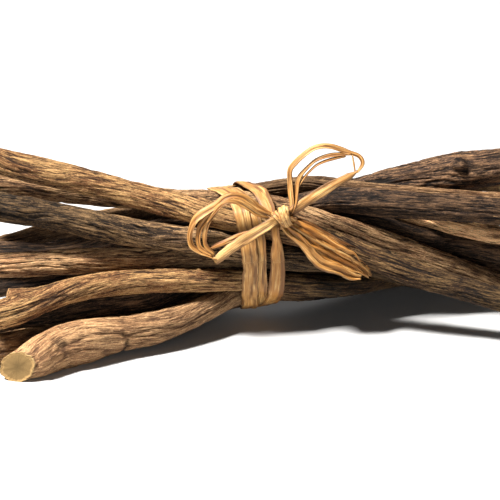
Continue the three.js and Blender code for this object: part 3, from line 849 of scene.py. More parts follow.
@dataclass(frozen=True)
class Scar:
    """The scar of a fallen twig: its middle in the layout and its reach."""

    middle: tuple[float, float, float]
    reach: float

    FLATTEN = (0.7, 1.0, 1.2)
    FULL_HEIGHT_REACH = 2.5
    # Where the grooves round the scar lie, how wide each is and how deep, as shares
    MOATS = ((1.15, 0.22, 1.0), (0.45, 0.16, 0.7))

    def shares(self, skin: np.ndarray) -> tuple[np.ndarray, np.ndarray]:
        """Works out the scar's shape on the smooth bark.

        Args:
            skin: the points of the smooth bark.

        Returns:
            How far each point rises, and how deep it lies in a groove, from 0 to 1.
        """
        away = np.linalg.norm((skin - placed(self.middle)) * self.FLATTEN, axis=-1) / self.reach
        raised = np.exp(-away ** 4) * self.reach / self.FULL_HEIGHT_REACH
        moats = [depth * np.exp(-((away - place) / half) ** 2) for place, half, depth in self.MOATS]
        return raised, np.max(moats, axis=0)


@dataclass
class Root:
    """One dried root. Its middle line and its thickness come from its solid."""

    node: str
    tone: BarkTone
    seed: int
    stations: int = 230
    sides: int = 108
    wrinkles: float = 1.0
    rings: float = 0.0
    # How light the bark is at each of the shade places: partly its own tone along the root, partly painted
    # shade just right of the tie and between roots, and painted light on a root that lies in shadow
    shade: tuple[float, ...] = (1.0, 1.0, 1.0, 1.0, 1.0, 1.0)
    # Cracked growth rings, as places along X in the layout
    cracks: tuple[float, ...] = ()
    scars: tuple[Scar, ...] = ()
    # How round the left end is, and how far the bark stands off its solid
    round_end: float = 0.0
    swollen: float = 0.3
    points: np.ndarray = field(init=False, repr=False, default=None)

    SHADE_PLACES = (-92.0, -57.0, -22.0, 28.0, 60.0, 92.0)
    # How dark the cracks and the grooves round the scars are painted, as painted shade
    CRACK_SHADE = 0.15
    RIM_REACH = 1.5
    # The steps of a cut face from its rim to its middle, as shares of its reach
    CUT_RINGS = (0.975, 0.93, 0.88, 0.8, 0.66, 0.48, 0.28, 0.1)
    CUT_SINK = 0.28
    HUB_SINK = 0.3
    CUT_RAGGED = 0.16
    CRACK_HALF = 0.6
    CRACK_DEPTH = 0.7
    CRACK_WANDER = 1.2
    SCAR_HEIGHT = 0.9
    MOAT_SHARE = 0.6
    UNROLLED = 5.0
    # How far the grain twists and wobbles round the root, in radians, and how fast
    TWIST, TWIST_CELLS = 0.9, 0.018
    WOBBLE, WOBBLE_CELLS = 0.16, 0.07
    DRIFT = 0.004
    # Cells of noise to the millimetre, round the root twice and along it
    BEND_CELLS = (0.3, 0.3, 0.07)
    FIBRE_CELLS = (1.5, 1.5, 0.15)
    PATCH_CELLS = (0.16, 0.16, 0.03)
    LUMP_CELLS = (0.1, 0.1, 0.04)
    RING_CELLS = (0.28, 0.28, 0.7)
    # Depths in millimetres, and how much each moves the relief: painted shade in the fibres' hollows and the
    # ring grooves, painted light on the fibres' crests
    FIBRE_DEPTH, FIBRE_DARK = 0.13, 0.16
    RING_DEPTH, RING_DARK = 0.45, 0.25
    LUMP_DEPTH, LUMP_LIMIT = 0.3, 0.8
    END_BLEND = 7.0
    LINE_EASE = 60
    CREST_PERCENT = 88
    CREST_EASE = 3.0
    LUMP_SHARE = 1.06
    RIB_SHARE = 0.5
    ROUND_REACH = 16.0
    ROUND_SHARE = 0.94
    FLOOR_CLEAR = 0.05

    def build(self) -> bpy.types.Object:
        """Makes the root's bark and its cut ends.

        Returns:
            The root, without its materials.
        """
        tube = CadTube(self.node)
        rough_line, normals = tube.middle_line()
        line, along = along_line(rough_line, self.stations)
        line = eased(line, self.stations / self.LINE_EASE)
        ways = directions(line)
        rays = rays_round(ways, self.sides)
        space = self.bark_space(along)
        radius, relief, cracked = self.worn_bark(self.read_reach(tube, line, rays, along), line, rays, space)
        rings = line[:, None] + rays * radius[..., None]
        rings += ways[:, None] * self.cut_slant(normals, ways, rays, radius, along)[..., None]
        self.points = rings.reshape(-1, 3)
        caps, cap_space, cap_faces = self.cut_ends(rings, space, ways)
        points = np.concatenate([self.points, caps])
        points[:, 2] = np.maximum(points[:, 2], self.FLOOR_CLEAR)
        quads = np.concatenate([grid_faces(self.stations, self.sides), cap_faces[0]])
        mesh = fill_mesh(self.node + "_bark", points, quads, cap_faces[1])
        wood = np.zeros(len(caps))
        rim = np.maximum(1 - np.minimum(along, along[-1] - along) / self.RIM_REACH, 0.0)
        # Tone and painted light and shade along X, eased between the shade places
        shade = np.interp(points[:, 0], np.array(self.SHADE_PLACES) - LAYOUT_MIDDLE[0], self.shade)
        # Painted shade in the cracks and in the grooves round the scars
        shade[:radius.size] *= 1 - (1 - self.CRACK_SHADE) * cracked.ravel()
        add_values(mesh, "bark_space", np.concatenate([space.reshape(-1, 3), cap_space]))
        add_values(mesh, "relief", np.concatenate([relief.ravel(), wood]))
        add_values(mesh, "shade", shade)
        add_values(mesh, "rim", np.concatenate([np.repeat(rim, self.sides), wood]))
        add_values(mesh, "along", np.concatenate([
            np.repeat(ways, self.sides, axis=0), np.repeat(ways[:1], len(caps), axis=0),
        ]))
        made = linked(self.node + "_bark", mesh)
        face_out(made)
        return made

    def dress(self, made: bpy.types.Object, bark: bpy.types.Material, wood: bpy.types.Material) -> None:
        """Gives the root its bark and its bare ends, and hands it over.

        Args:
            made: the finished root.
            bark: the bark's material.
            wood: the material of the cut ends.
        """
        mesh = made.data
        mesh.materials.append(bark)
        mesh.materials.append(wood)
        bark_faces = (self.stations - 1) * self.sides
        wooden = (np.arange(len(mesh.polygons)) >= bark_faces).astype(np.int32)
        mesh.polygons.foreach_set("material_index", wooden)
        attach(made, "root")
        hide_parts(self.node)

    def read_reach(self, tube: CadTube, line: np.ndarray, rays: np.ndarray, along: np.ndarray) -> np.ndarray:
        """Reads how far the root's solid reaches from its middle line.

        Args:
            tube: the root's solid.
            line: the middle line.
            rays: the directions looked in, for each station.
            along: each station's distance from the left end.

        Returns:
            One reach for each station and side, evened out towards a round left end.
        """
        inside = (along > tube.END_MARGIN) & (along < along[-1] - tube.END_MARGIN)
        reach = np.zeros(rays.shape[:2])
        for k in np.flatnonzero(inside):
            reach[k] = [tube.cast(line[k], ray)[0] for ray in rays[k]]
        first, last = np.flatnonzero(inside)[[0, -1]]
        reach[:first], reach[last + 1:] = reach[first], reach[last]
        turned_round = self.round_end * (1 - smoothstep(0.0, self.ROUND_REACH, along))[:, None]
        return reach + (reach.mean(axis=1, keepdims=True) * self.ROUND_SHARE - reach) * turned_round

    def bark_space(self, along: np.ndarray) -> np.ndarray:
        """Makes coordinates that follow the bark, so that a pattern wraps round it without a seam.

        Args:
            along: each station's distance from the left end.

        Returns:
            Round the root and along it, in millimetres, for each station and side.
        """
        grain = Grain(self.seed)
        twist = grain.at(noise_track(along * self.TWIST_CELLS, 3.7, self.seed))
        wobble = grain.at(noise_track(along * self.WOBBLE_CELLS, 9.1, self.seed * 0.37))
        turned = self.TWIST * twist + self.WOBBLE * wobble + self.DRIFT * along + self.seed
        angle = angles_round(self.sides)[None] + turned[:, None]
        ring = [self.UNROLLED * np.cos(angle), self.UNROLLED * np.sin(angle)]
        return np.stack([*ring, np.broadcast_to(along[:, None], angle.shape)], axis=-1)

    def worn_bark(
        self, reach: np.ndarray, line: np.ndarray, rays: np.ndarray, space: np.ndarray
    ) -> tuple[np.ndarray, np.ndarray, np.ndarray]:
        """Wrinkles and cracks the bark over its solid.

        Args:
            reach: how far the solid reaches, for each station and side.
            line: the middle line.
            rays: the direction of each side.
            space: the bark's coordinates.

        Returns:
            The reach of the bark, its relief from 0 to 1, which the bark's colour turns into painted shade in
            the valleys, and how deep in a crack it lies from 0 to 1.
        """
        crest = eased(np.percentile(reach, self.CREST_PERCENT, axis=1), self.CREST_EASE)[:, None]
        lumps = np.maximum(reach - crest * self.LUMP_SHARE, 0.0)
        ribs = np.clip(crest - reach, 0.0, None) * self.RIB_SHARE
        depth, relief = self.wrinkle_depth(space)
        cracked = self.crack_share(space, line)
        raised = np.zeros(reach.shape)
        for scar in self.scars:
            stump, moat = scar.shares(line[:, None] + rays * crest[..., None])
            raised = np.maximum(raised, stump)
            # The grooves round a scar get painted shade like the cracks, in the lightness and in the relief
            cracked = np.maximum(cracked, self.MOAT_SHARE * moat)
        depth = depth + self.CRACK_DEPTH * cracked - self.SCAR_HEIGHT * raised
        radius = crest + lumps - ribs - depth + self.swollen
        return radius, np.maximum(relief, cracked), cracked

    def wrinkle_depth(self, space: np.ndarray) -> tuple[np.ndarray, np.ndarray]:
        """Works out the bark's wrinkles.

        Args:
            space: the bark's coordinates.

        Returns:
            How far each point lies below the crests, in millimetres, and much the same from 0 to 1 as the
            relief, which the bark's colour turns into painted shade in the valleys and painted light on the
            raised fibres.
        """
        wide, fine, slow = Grain(self.seed + 11), Grain(self.seed + 12), Grain(self.seed + 13)
        bend = wide.at(space * self.BEND_CELLS)[..., None] * np.array([0.5, 0.5, 0.0])
        groove = GROOVES.share(wide, space, bend)
        crease = CREASES.share(fine, space, bend * 1.6)
        split = SPLITS.share(slow, space, 3.0)
        fibre = fine.at(space * self.FIBRE_CELLS + bend * 2.5 + 7.0)
        patch = 0.5 + 0.5 * slow.at(space * self.PATCH_CELLS)
        lump = np.clip(slow.at(space * self.LUMP_CELLS), -self.LUMP_LIMIT, self.LUMP_LIMIT)
        ring = self.rings * np.clip(wide.at(space * self.RING_CELLS + 5.0) - 0.1, 0, 1)
        # Deep grooves lie in some patches of the bark, and finer creases in the others
        depth = GROOVES.depth * groove * (0.35 + 0.8 * patch) + CREASES.depth * crease * (1.2 - 0.6 * patch)
        depth = self.wrinkles * (depth + SPLITS.depth * split - self.FIBRE_DEPTH * fibre)
        depth = depth - self.LUMP_DEPTH * lump + self.RING_DEPTH * ring
        # The relief paints shade into the grooves, creases, splits and ring grooves, and light onto the
        # raised fibres
        relief = GROOVES.dark * groove + CREASES.dark * crease + SPLITS.dark * split
        return depth, np.clip(relief - self.FIBRE_DARK * fibre + self.RING_DARK * ring, 0, 1)

    def crack_share(self, space: np.ndarray, line: np.ndarray) -> np.ndarray:
        """Opens a crack at each of the root's growth rings.

        Args:
            space: the bark's coordinates.
            line: the middle line.

        Returns:
            How deep in a crack each point lies, from 0 to 1.
        """
        grain = Grain(self.seed + 31)
        places = line[:, None, 0] + LAYOUT_MIDDLE[0] + self.CRACK_WANDER * grain.at(space * (0.5, 0.5, 0.02))
        share = np.zeros(places.shape)
        for crack in self.cracks:
            open_share = smoothstep(-0.6, -0.1, grain.at(space * (0.25, 0.25, 0.02) + crack))
            share = np.maximum(share, open_share * np.exp(-((places - crack) / self.CRACK_HALF) ** 2))
        return share

    def cut_slant(
        self, normals: list[np.ndarray], ways: np.ndarray, rays: np.ndarray, radius: np.ndarray,
        along: np.ndarray,
    ) -> np.ndarray:
        """Leans the rings near both ends into the planes of the cuts.

        Args:
            normals: the outward normals of the left and the right cut.
            ways: the line's direction at each station.
            rays: the direction of each side.
            radius: the reach of each side.
            along: each station's distance from the left end.

        Returns:
            How far each point moves along the line.
        """
        moved = np.zeros(radius.shape)
        for normal, end, distance in ((normals[0], 0, along), (normals[1], -1, along[-1] - along)):
            lean = -(rays[end] @ normal) / (ways[end] @ normal)
            fading = 1 - smoothstep(0.0, self.END_BLEND, distance)
            moved += fading[:, None] * lean[None] * radius
        return moved

    def cut_ends(
        self, rings: np.ndarray, space: np.ndarray, ways: np.ndarray
    ) -> tuple[np.ndarray, np.ndarray, tuple[np.ndarray, np.ndarray]]:
        """Closes both ends with a saw-cut face inside a ragged bark rim.

        Args:
            rings: the bark's rings.
            space: the bark's coordinates.
            ways: the line's direction at each station.

        Returns:
            The faces' points, their coordinates, and their quads and triangles.
        """
        grain = Grain(self.seed + 21)
        points, spaces, quads, triangles = [], [], [], []
        count = self.stations * self.sides
        for end, way in ((0, -ways[0]), (self.stations - 1, ways[-1])):
            edge, edge_space = rings[end], space[end]
            middle, middle_space = edge.mean(axis=0), np.array([0.0, 0.0, edge_space[0, 2]])
            turned = 1 if end else -1
            previous = np.arange(self.sides) + end * self.sides
            for share in self.CUT_RINGS:
                ring_space = middle_space + (edge_space - middle_space) * share
                sunk = self.CUT_SINK * smoothstep(0.99, 0.9, share)
                ragged = self.CUT_RAGGED * grain.at(ring_space * 0.9) - sunk
                points.append(middle + (edge - middle) * share + way * ragged[:, None])
                spaces.append(ring_space)
                current = np.arange(self.sides) + count
                corners = (previous, np.roll(previous, -1), np.roll(current, -1), current)
                quads.append(np.stack(corners[::turned], axis=1))
                previous = current
                count += self.sides
            points.append((middle - way * self.HUB_SINK)[None])
            spaces.append(middle_space[None])
            corners = (previous, np.roll(previous, -1), np.full(self.sides, count))
            triangles.append(np.stack(corners[::turned], axis=1))
            count += 1
        faces = (np.concatenate(quads), np.concatenate(triangles))
        return np.concatenate(points), np.concatenate(spaces), faces


# The last values of each root paint shade onto the roots just right of the tie and between roots, near black
# there, and paint light onto root_bulged, which lies in shadow; elsewhere they give each root's own tone
ROOTS = [
    Root("root_top_front", BarkTone.GOLDEN, 3, wrinkles=0.8, rings=0.6,
         shade=(0.68, 0.75, 0.85, 0.3, 0.13, 0.06)),
    Root("root_upper_grey", BarkTone.GREY, 5, wrinkles=1.25, shade=(0.2, 0.38, 1.45, 0.1, 0.2, 0.2)),
    Root("root_middle_tan", BarkTone.TAN, 8, shade=(1.7, 1.55, 0.5, 0.04, 0.3, 0.4)),
    Root("root_bent_tan", BarkTone.GOLDEN, 13, wrinkles=0.6, rings=0.5,
         shade=(0.75, 0.85, 0.9, 0.03, 0.15, 0.3)),
    Root("root_thick_front", BarkTone.BROWN, 21, sides=128, wrinkles=0.75, rings=0.6,
         shade=(1.2, 1.12, 0.75, 0.03, 0.15, 0.3), cracks=(-47.5,),
         scars=(Scar((-68.7, -53.5, 11.0), 2.4),), round_end=1.0),
    Root("root_second_top", BarkTone.TAN, 34, shade=(0.9, 1.0, 1.0, 1.3, 1.3, 0.65)),
    Root("root_big_top", BarkTone.DARK, 40, sides=128, wrinkles=1.2, rings=0.8,
         shade=(0.8, 0.8, 0.9, 1.0, 1.2, 1.5),
         scars=(Scar((80.6, 5.0, 59.0), 3.6), Scar((88.0, 5.0, 57.0), 2.4))),
    Root("root_top_strip", BarkTone.BROWN, 47, shade=(0.4, 0.4, 0.35, 0.3, 0.65, 0.9)),
    Root("root_dark_upper", BarkTone.DARK, 52, wrinkles=1.2, shade=(0.5, 0.5, 0.5, 0.5, 0.55, 0.65)),
    Root("root_bulged", BarkTone.TAN, 59, wrinkles=0.9, shade=(0.3, 0.3, 0.3, 0.5, 3.0, 3.2)),
    Root("root_dark_middle", BarkTone.DARK, 66, wrinkles=1.1, shade=(0.7, 0.7, 0.7, 0.5, 0.45, 0.6)),
    Root("root_dark_lower", BarkTone.DARK, 71, wrinkles=1.1, shade=(0.7, 0.65, 0.6, 0.6, 0.7, 0.8),
         swollen=0.9),
    Root("root_low_brown", BarkTone.BROWN, 79, shade=(0.7, 0.35, 0.15, 0.15, 0.3, 0.5), swollen=1.2),
    Root("root_back_low", BarkTone.BROWN, 85, stations=200, sides=64),
    Root("root_back_middle", BarkTone.TAN, 91, stations=200, sides=64),
    Root("root_heart", BarkTone.DARK, 97, stations=160, sides=48, shade=(0.5, 0.5, 0.5, 0.6, 0.8, 1.0)),
    Root("root_back_upper", BarkTone.GREY, 103, stations=200, sides=64, wrinkles=1.1),
]


@dataclass
class Strip:
    """One strip of raffia along a line, folded lengthwise and a little uneven."""

    line: np.ndarray
    facing: np.ndarray
    width: float
    seed: int
    closed: bool = False
    fold: float = 0.3
    folds: float = 1.5
    curl: float = 0.12
    twist: float = 0.0
    age: float = 0.3
    ends: tuple[float, float] = (0.5, 0.5)
    swells: tuple[float, ...] = (1.0, 1.0)

    COLUMNS = 15
    THICKNESS = 0.22
    END_RUN = 4.5
    NOISE_RADIUS = 2.2
    NOISE_CELLS = 0.055
    # How much faster than the folds the twist, the width and the edges change
    TWIST_CELLS, WIDTH_CELLS, WAVE_CELLS = 1.7, 1.9, (6.0, 6.0, 1.0)
    # What keeps the patterns of two strips apart
    STRIP_SHIFT = 3.1
    # How far noise moves the folds across the strip, and how much narrower and wider it makes it
    FOLD_WANDER = 2.4
    UNEVEN = 0.16
    # A finer fold inside the folds
    FINE_FOLD = 0.4
    FINE_FOLDS = 2.3
    FINE_WANDER = 1.7
    CURL_REACH = 0.25
    CURL_MIDDLE = 0.3
    EDGE_WAVE = 0.05
    # Painted shade: where it starts towards the edges, how sharply it gathers in the folds, how far up the
    # folds it reaches, and how much the underside gets
    EDGE_SHADE_START = 0.72
    CREASE_SHARPNESS = 2.0
    FOLD_REACH = 2.2
    UNDERSIDE_PAINTED_SHADE = 0.6

    def noise_places(self, along: np.ndarray) -> np.ndarray:
        """Picks where the strip reads its noise, so that a closed strip has no seam.

        Args:
            along: each step's distance from the start.

        Returns:
            A point in the noise for each step.
        """
        if self.closed:
            round_trip = along[-1] * len(along) / (len(along) - 1)
            return noise_ring(along / round_trip * FULL_TURN, self.NOISE_RADIUS, self.seed)
        return noise_track(along * self.NOISE_CELLS, 1.3, self.seed)

    def surface(self) -> tuple[np.ndarray, np.ndarray, np.ndarray]:
        """Works out the strip's skin.

        Returns:
            The rings of points, their coordinates on the strip, and how much painted shade each gets: in its
            folds, towards its edges and on its underside.
        """
        along = run_lengths(self.line)
        grain = Grain(self.seed)
        where = self.noise_places(along)
        ways = directions(self.line, self.closed)
        across = unit(np.cross(ways, self.facing))
        out = np.cross(across, ways)
        turn = self.twist * grain.at(where * self.TWIST_CELLS + 8.0)[:, None]
        across, out = across * np.cos(turn) + out * np.sin(turn), out * np.cos(turn) - across * np.sin(turn)
        u = np.linspace(-1, 1, self.COLUMNS)
        half = self.width / 2 * self.widths(along, grain.at(where * self.WIDTH_CELLS + 4.0))
        phase = self.FOLD_WANDER * grain.at(where)[:, None] + self.seed
        spread = u[None] * self.folds * math.pi
        bend = self.fold * np.sin(spread + phase)
        bend += self.FINE_FOLD * self.fold * np.sin(spread * self.FINE_FOLDS - phase * self.FINE_WANDER)
        bend -= self.curl * self.width * self.CURL_REACH * (u[None] ** 2 - self.CURL_MIDDLE)
        edge_wave = self.EDGE_WAVE * self.width * grain.at(where * self.WAVE_CELLS)
        sideways = half[:, None] * u[None] + edge_wave[:, None]
        top = self.line[:, None] + across[:, None] * sideways[..., None]
        upper = top + out[:, None] * (bend + self.THICKNESS / 2)[..., None]
        lower = top + out[:, None] * (bend - self.THICKNESS / 2)[..., None]
        flat = np.stack([sideways + self.seed * self.STRIP_SHIFT, np.broadcast_to(along[:, None], bend.shape),
                         np.full(bend.shape, float(self.seed))], axis=-1)
        # Painted shade: dark in the fold valleys, towards the edges, and on the whole underside
        deep = np.clip(0.5 - bend / (self.FOLD_REACH * self.fold), 0, 1) ** self.CREASE_SHARPNESS
        deep = np.maximum(deep, smoothstep(self.EDGE_SHADE_START, 1.0, np.abs(u))[None])
        under = self.UNDERSIDE_PAINTED_SHADE + (1 - self.UNDERSIDE_PAINTED_SHADE) * deep
        both_sides = [(upper, lower), (flat, flat), (deep, under)]
        return tuple(np.concatenate([over, below[:, ::-1]], axis=1) for over, below in both_sides)

    def widths(self, along: np.ndarray, unevenness: np.ndarray) -> np.ndarray:
        """Works out how wide the strip is along its run.

        Args:
            along: each step's distance from the start.
            unevenness: noise at each step.

        Returns:
            Shares of the strip's width.
        """
        share = 1 + self.UNEVEN * unevenness
        share = share * np.interp(along / along[-1], np.linspace(0, 1, len(self.swells)), self.swells)
        if not self.closed:
            for end, distance in zip(self.ends, (along, along[-1] - along)):
                share = share * (end + (1 - end) * smoothstep(0.0, self.END_RUN, distance))
        return share

    def faces(self, start: int) -> np.ndarray:
        """Lists the faces of the strip's skin.

        Args:
            start: the number of its first point.

        Returns:
            Four corners a face, with both ends closed.
        """
        rows, columns = len(self.line), 2 * self.COLUMNS
        quads = [grid_faces(rows, columns, self.closed, start)]
        if not self.closed:
            beside = np.arange(self.COLUMNS - 1)
            for row in (0, rows - 1):
                near = start + row * columns + beside
                far = start + (row + 1) * columns - 1 - beside
                quads.append(np.stack([near, near + 1, far - 1, far], axis=1))
        return np.concatenate(quads)


def join_strips(name: str, strips: list[Strip]) -> bpy.types.Object:
    """Makes one piece of several strips.

    Args:
        name: the piece's name.
        strips: the strips.

    Returns:
        The piece.
    """
    points, spaces, folds, ages, quads = [], [], [], [], []
    count = 0
    for strip in strips:
        rings, flat, deep = strip.surface()
        quads.append(strip.faces(count))
        points.append(rings.reshape(-1, 3))
        spaces.append(flat.reshape(-1, 3))
        folds.append(deep.ravel())
        ages.append(np.full(deep.size, strip.age))
        count += deep.size
    mesh = fill_mesh(name, np.concatenate(points), np.concatenate(quads), NO_FACES)
    add_values(mesh, "strip_space", np.concatenate(spaces))
    # The fold attribute carries the painted shade of the folds, the edges and the undersides
    add_values(mesh, "fold", np.concatenate(folds))
    add_values(mesh, "age", np.concatenate(ages))
    made = linked(name, mesh)
    face_out(made)
    return made


@dataclass(frozen=True)
class BowRun:
    """A strip of the bow: its width, where its broad side faces, its path in the layout and its character."""

    width: float
    faces: tuple[float, float, float]
    path: tuple
    age: float = 0.4
    fold: float = 0.1
    folds: float = 1.2
    twist: float = 0.3
    ends: tuple[float, float] = (0.6, 0.6)
    swells: tuple[float, ...] = (1.0, 1.0)


LEFT_LOOP = [
    BowRun(
        3.1, (-0.2, -0.5, 0.8),
        ((8, -21.5, 48.4), (4.7, -21.9, 50.5), (2.4, -22, 51.9), (-1.3, -22.3, 55), (-5.1, -22.5, 56.4),
         (-9.2, -23, 55.7), (-12, -23.6, 53.2), (-16.2, -24.8, 50.9), (-19.9, -26, 48.4),
         (-21.6, -26.6, 44.6), (-22.2, -27, 40.8), (-20.5, -27.4, 37.5), (-16.3, -27.9, 35.5),
         (-12.1, -28.3, 33.9)),
        age=0.6, swells=(0.8, 1.0, 0.9, 1.0, 1.25, 0.8, 0.7, 0.9),
    ),
    BowRun(
        2.6, (-0.2, -0.6, 0.6),
        ((-7.5, -24.4, 54.6), (-10.2, -24.6, 54), (-14.3, -25.3, 50.1), (-18.1, -26.2, 45.5),
         (-19, -27, 40.8), (-18.1, -27.6, 37.6), (-13.9, -28.2, 35.1)),
        age=0.75, swells=(0.7, 1.0, 1.2, 0.8, 0.7, 0.8),
    ),
    BowRun(
        2.4, (-0.2, -0.6, 0.6),
        ((7.1, -22.3, 47.6), (2.4, -23.6, 49.8), (-1.3, -24.2, 52.8), (-5.5, -24.6, 54.8),
         (-9.7, -25, 54.4), (-12.9, -25.4, 51.1), (-16, -26.2, 46.5), (-16.7, -27, 41.3),
         (-16, -27.6, 38.1), (-13, -28.2, 35.6)),
        age=0.5, swells=(0.8, 1.0, 0.9, 0.8, 1.0, 1.2, 0.7, 0.8),
    ),
    BowRun(
        1.9, (0.2, -0.7, 0.5),
        ((-15.6, -27, 37.1), (-10.2, -26.6, 39.2), (-4.1, -26, 42), (2.4, -25.5, 43.8)),
        age=0.9,
    ),
    BowRun(
        4.1, (0.3, -0.8, 0.5),
        ((-13, -28.6, 32.9), (-11.6, -28.6, 34), (-7.9, -28.2, 37), (-3.7, -27.7, 40), (2.4, -26.4, 43.6),
         (7, -25, 46), (10.3, -23, 47.6)),
        age=0.02, fold=0.035, folds=0.9, twist=0.12, ends=(0.85, 0.9), swells=(0.85, 1.0, 1.0, 0.9, 0.75),
    ),
]
RIGHT_LOOP = [
    BowRun(
        2.4, (-0.6, -0.5, 0.6),
        ((14.4, -21, 48.6), (15.5, -20, 51.8), (14.9, -18.2, 56.6), (14.7, -17, 61.1), (14.5, -17, 64.3),
         (15.2, -16.9, 65.6), (18.6, -16.3, 69), (22.9, -15.8, 72.2), (26.1, -15.4, 73),
         (29.6, -15.2, 72.9), (33.2, -15.3, 71.8), (36.9, -15.6, 70.4), (39.5, -16, 69.8),
         (41.3, -16.8, 68), (41, -17.6, 65.9), (39, -18, 63.6)),
        age=0.4, swells=(1.0, 1.0, 1.0, 1.1, 1.0, 0.9, 0.9, 0.6, 0.6),
    ),
    BowRun(
        2.0, (-0.6, -0.5, 0.6),
        ((15.4, -21, 48.6), (16.7, -20.2, 52.3), (17, -18.6, 57.2), (17.8, -17.6, 61.5),
         (21.1, -16.8, 65.4), (23.9, -16.4, 67.8), (28, -16, 69.4), (32.7, -16, 70.1), (37.1, -16.2, 70)),
        age=0.5, swells=(1.0, 1.1, 1.0, 0.8, 0.9, 0.7),
    ),
    BowRun(
        1.2, (-0.6, -0.5, 0.6),
        ((17.6, -18.4, 58.1), (19.9, -17.8, 61.8), (22.5, -17.3, 64.6), (24.8, -17, 66.6),
         (29.4, -16.6, 68.3), (35, -16.4, 69.5)),
        age=0.6,
    ),
    BowRun(0.9, (-0.6, -0.5, 0.3), ((37.4, -16.2, 69.9), (37.9, -17, 67.4), (38.5, -18, 63.4)), age=0.2),
    BowRun(
        3.6, (0.5, -0.8, 0.4),
        ((39.4, -18, 64.4), (36.4, -18.4, 62.4), (30.4, -19.2, 59.3), (23.4, -20, 55.1),
         (18.3, -20.6, 51.7), (13.6, -21, 48.4)),
        age=0.5, fold=0.045, folds=0.9, twist=0.15, ends=(0.3, 0.9), swells=(0.7, 0.9, 1.1, 1.0, 1.0),
    ),
]
TAILS = [
    BowRun(
        4.6, (0.2, -0.9, 0.5),
        ((13, -21.6, 47), (15.1, -21.4, 46), (20.5, -21.6, 43.9), (25, -21.4, 41.1), (30.7, -20.9, 37.7),
         (35.5, -20.4, 35), (40.4, -19.6, 31.1), (44.8, -18.8, 27.8)),
        age=0.95, fold=0.14, folds=1.8, twist=0.25, ends=(0.7, 0.25),
    ),
    BowRun(
        4.7, (0.2, -0.9, 0.4),
        ((12.6, -21.8, 46.4), (14.1, -21.8, 45.2), (19.3, -22.2, 42.1), (23.1, -22.4, 37.9),
         (28.3, -22, 35.8), (33.1, -21.4, 32.3), (38, -20.6, 30), (42.4, -20, 26.5), (44.7, -19.6, 23.6)),
        age=0.8, fold=0.14, folds=2.1, twist=0.3, ends=(0.7, 0.45),
    ),
    BowRun(
        4.3, (0.1, -0.9, 0.4),
        ((12.2, -21.6, 46), (12.7, -21.8, 44.5), (16.5, -22.8, 40.8), (20.3, -23.4, 37.6),
         (24.1, -23.9, 32.7), (27.4, -24, 29.8), (33.1, -23.4, 28), (38, -22.4, 24.8), (41.3, -22, 24)),
        age=0.5, fold=0.14, folds=1.7, twist=0.3, ends=(0.7, 0.5),
    ),
    BowRun(
        4.6, (0.1, -0.9, 0.4),
        ((12.4, -21.4, 46.2), (16.8, -21.8, 42.6), (21.8, -22, 38.6), (26.4, -21.9, 34.4),
         (31, -21.6, 31.4), (36, -21.2, 28.6), (41.8, -20.6, 25.2)),
        age=0.9, fold=0.13, folds=2.0, twist=0.2, ends=(0.7, 0.3),
    ),
    BowRun(
        1.3, (0.2, -0.9, 0.4),
        ((15, -22.4, 44.6), (22, -23, 40.6), (28, -22.6, 37), (33, -22, 34.4), (38.4, -21, 31.4),
         (43.6, -20, 26.4)),
        age=0.2, ends=(0.5, 0.3),
    ),
]


@dataclass(frozen=True)
class TurnStrand:
    """A strand of a turn of raffia: its shift along X, how far out it lies, its width and its character."""

    shift: float
    lift: float
    width: float
    age: float
    folds: float = 1.3
    swells: tuple[float, ...] = (1.0, 1.0)


@dataclass(frozen=True)
class Winding:
    """A strip wound over the knot: its shift along the bow, its size, how it tilts, its width and its age."""

    shift: float
    size: float
    tilt: tuple[float, float]
    width: float
    age: float


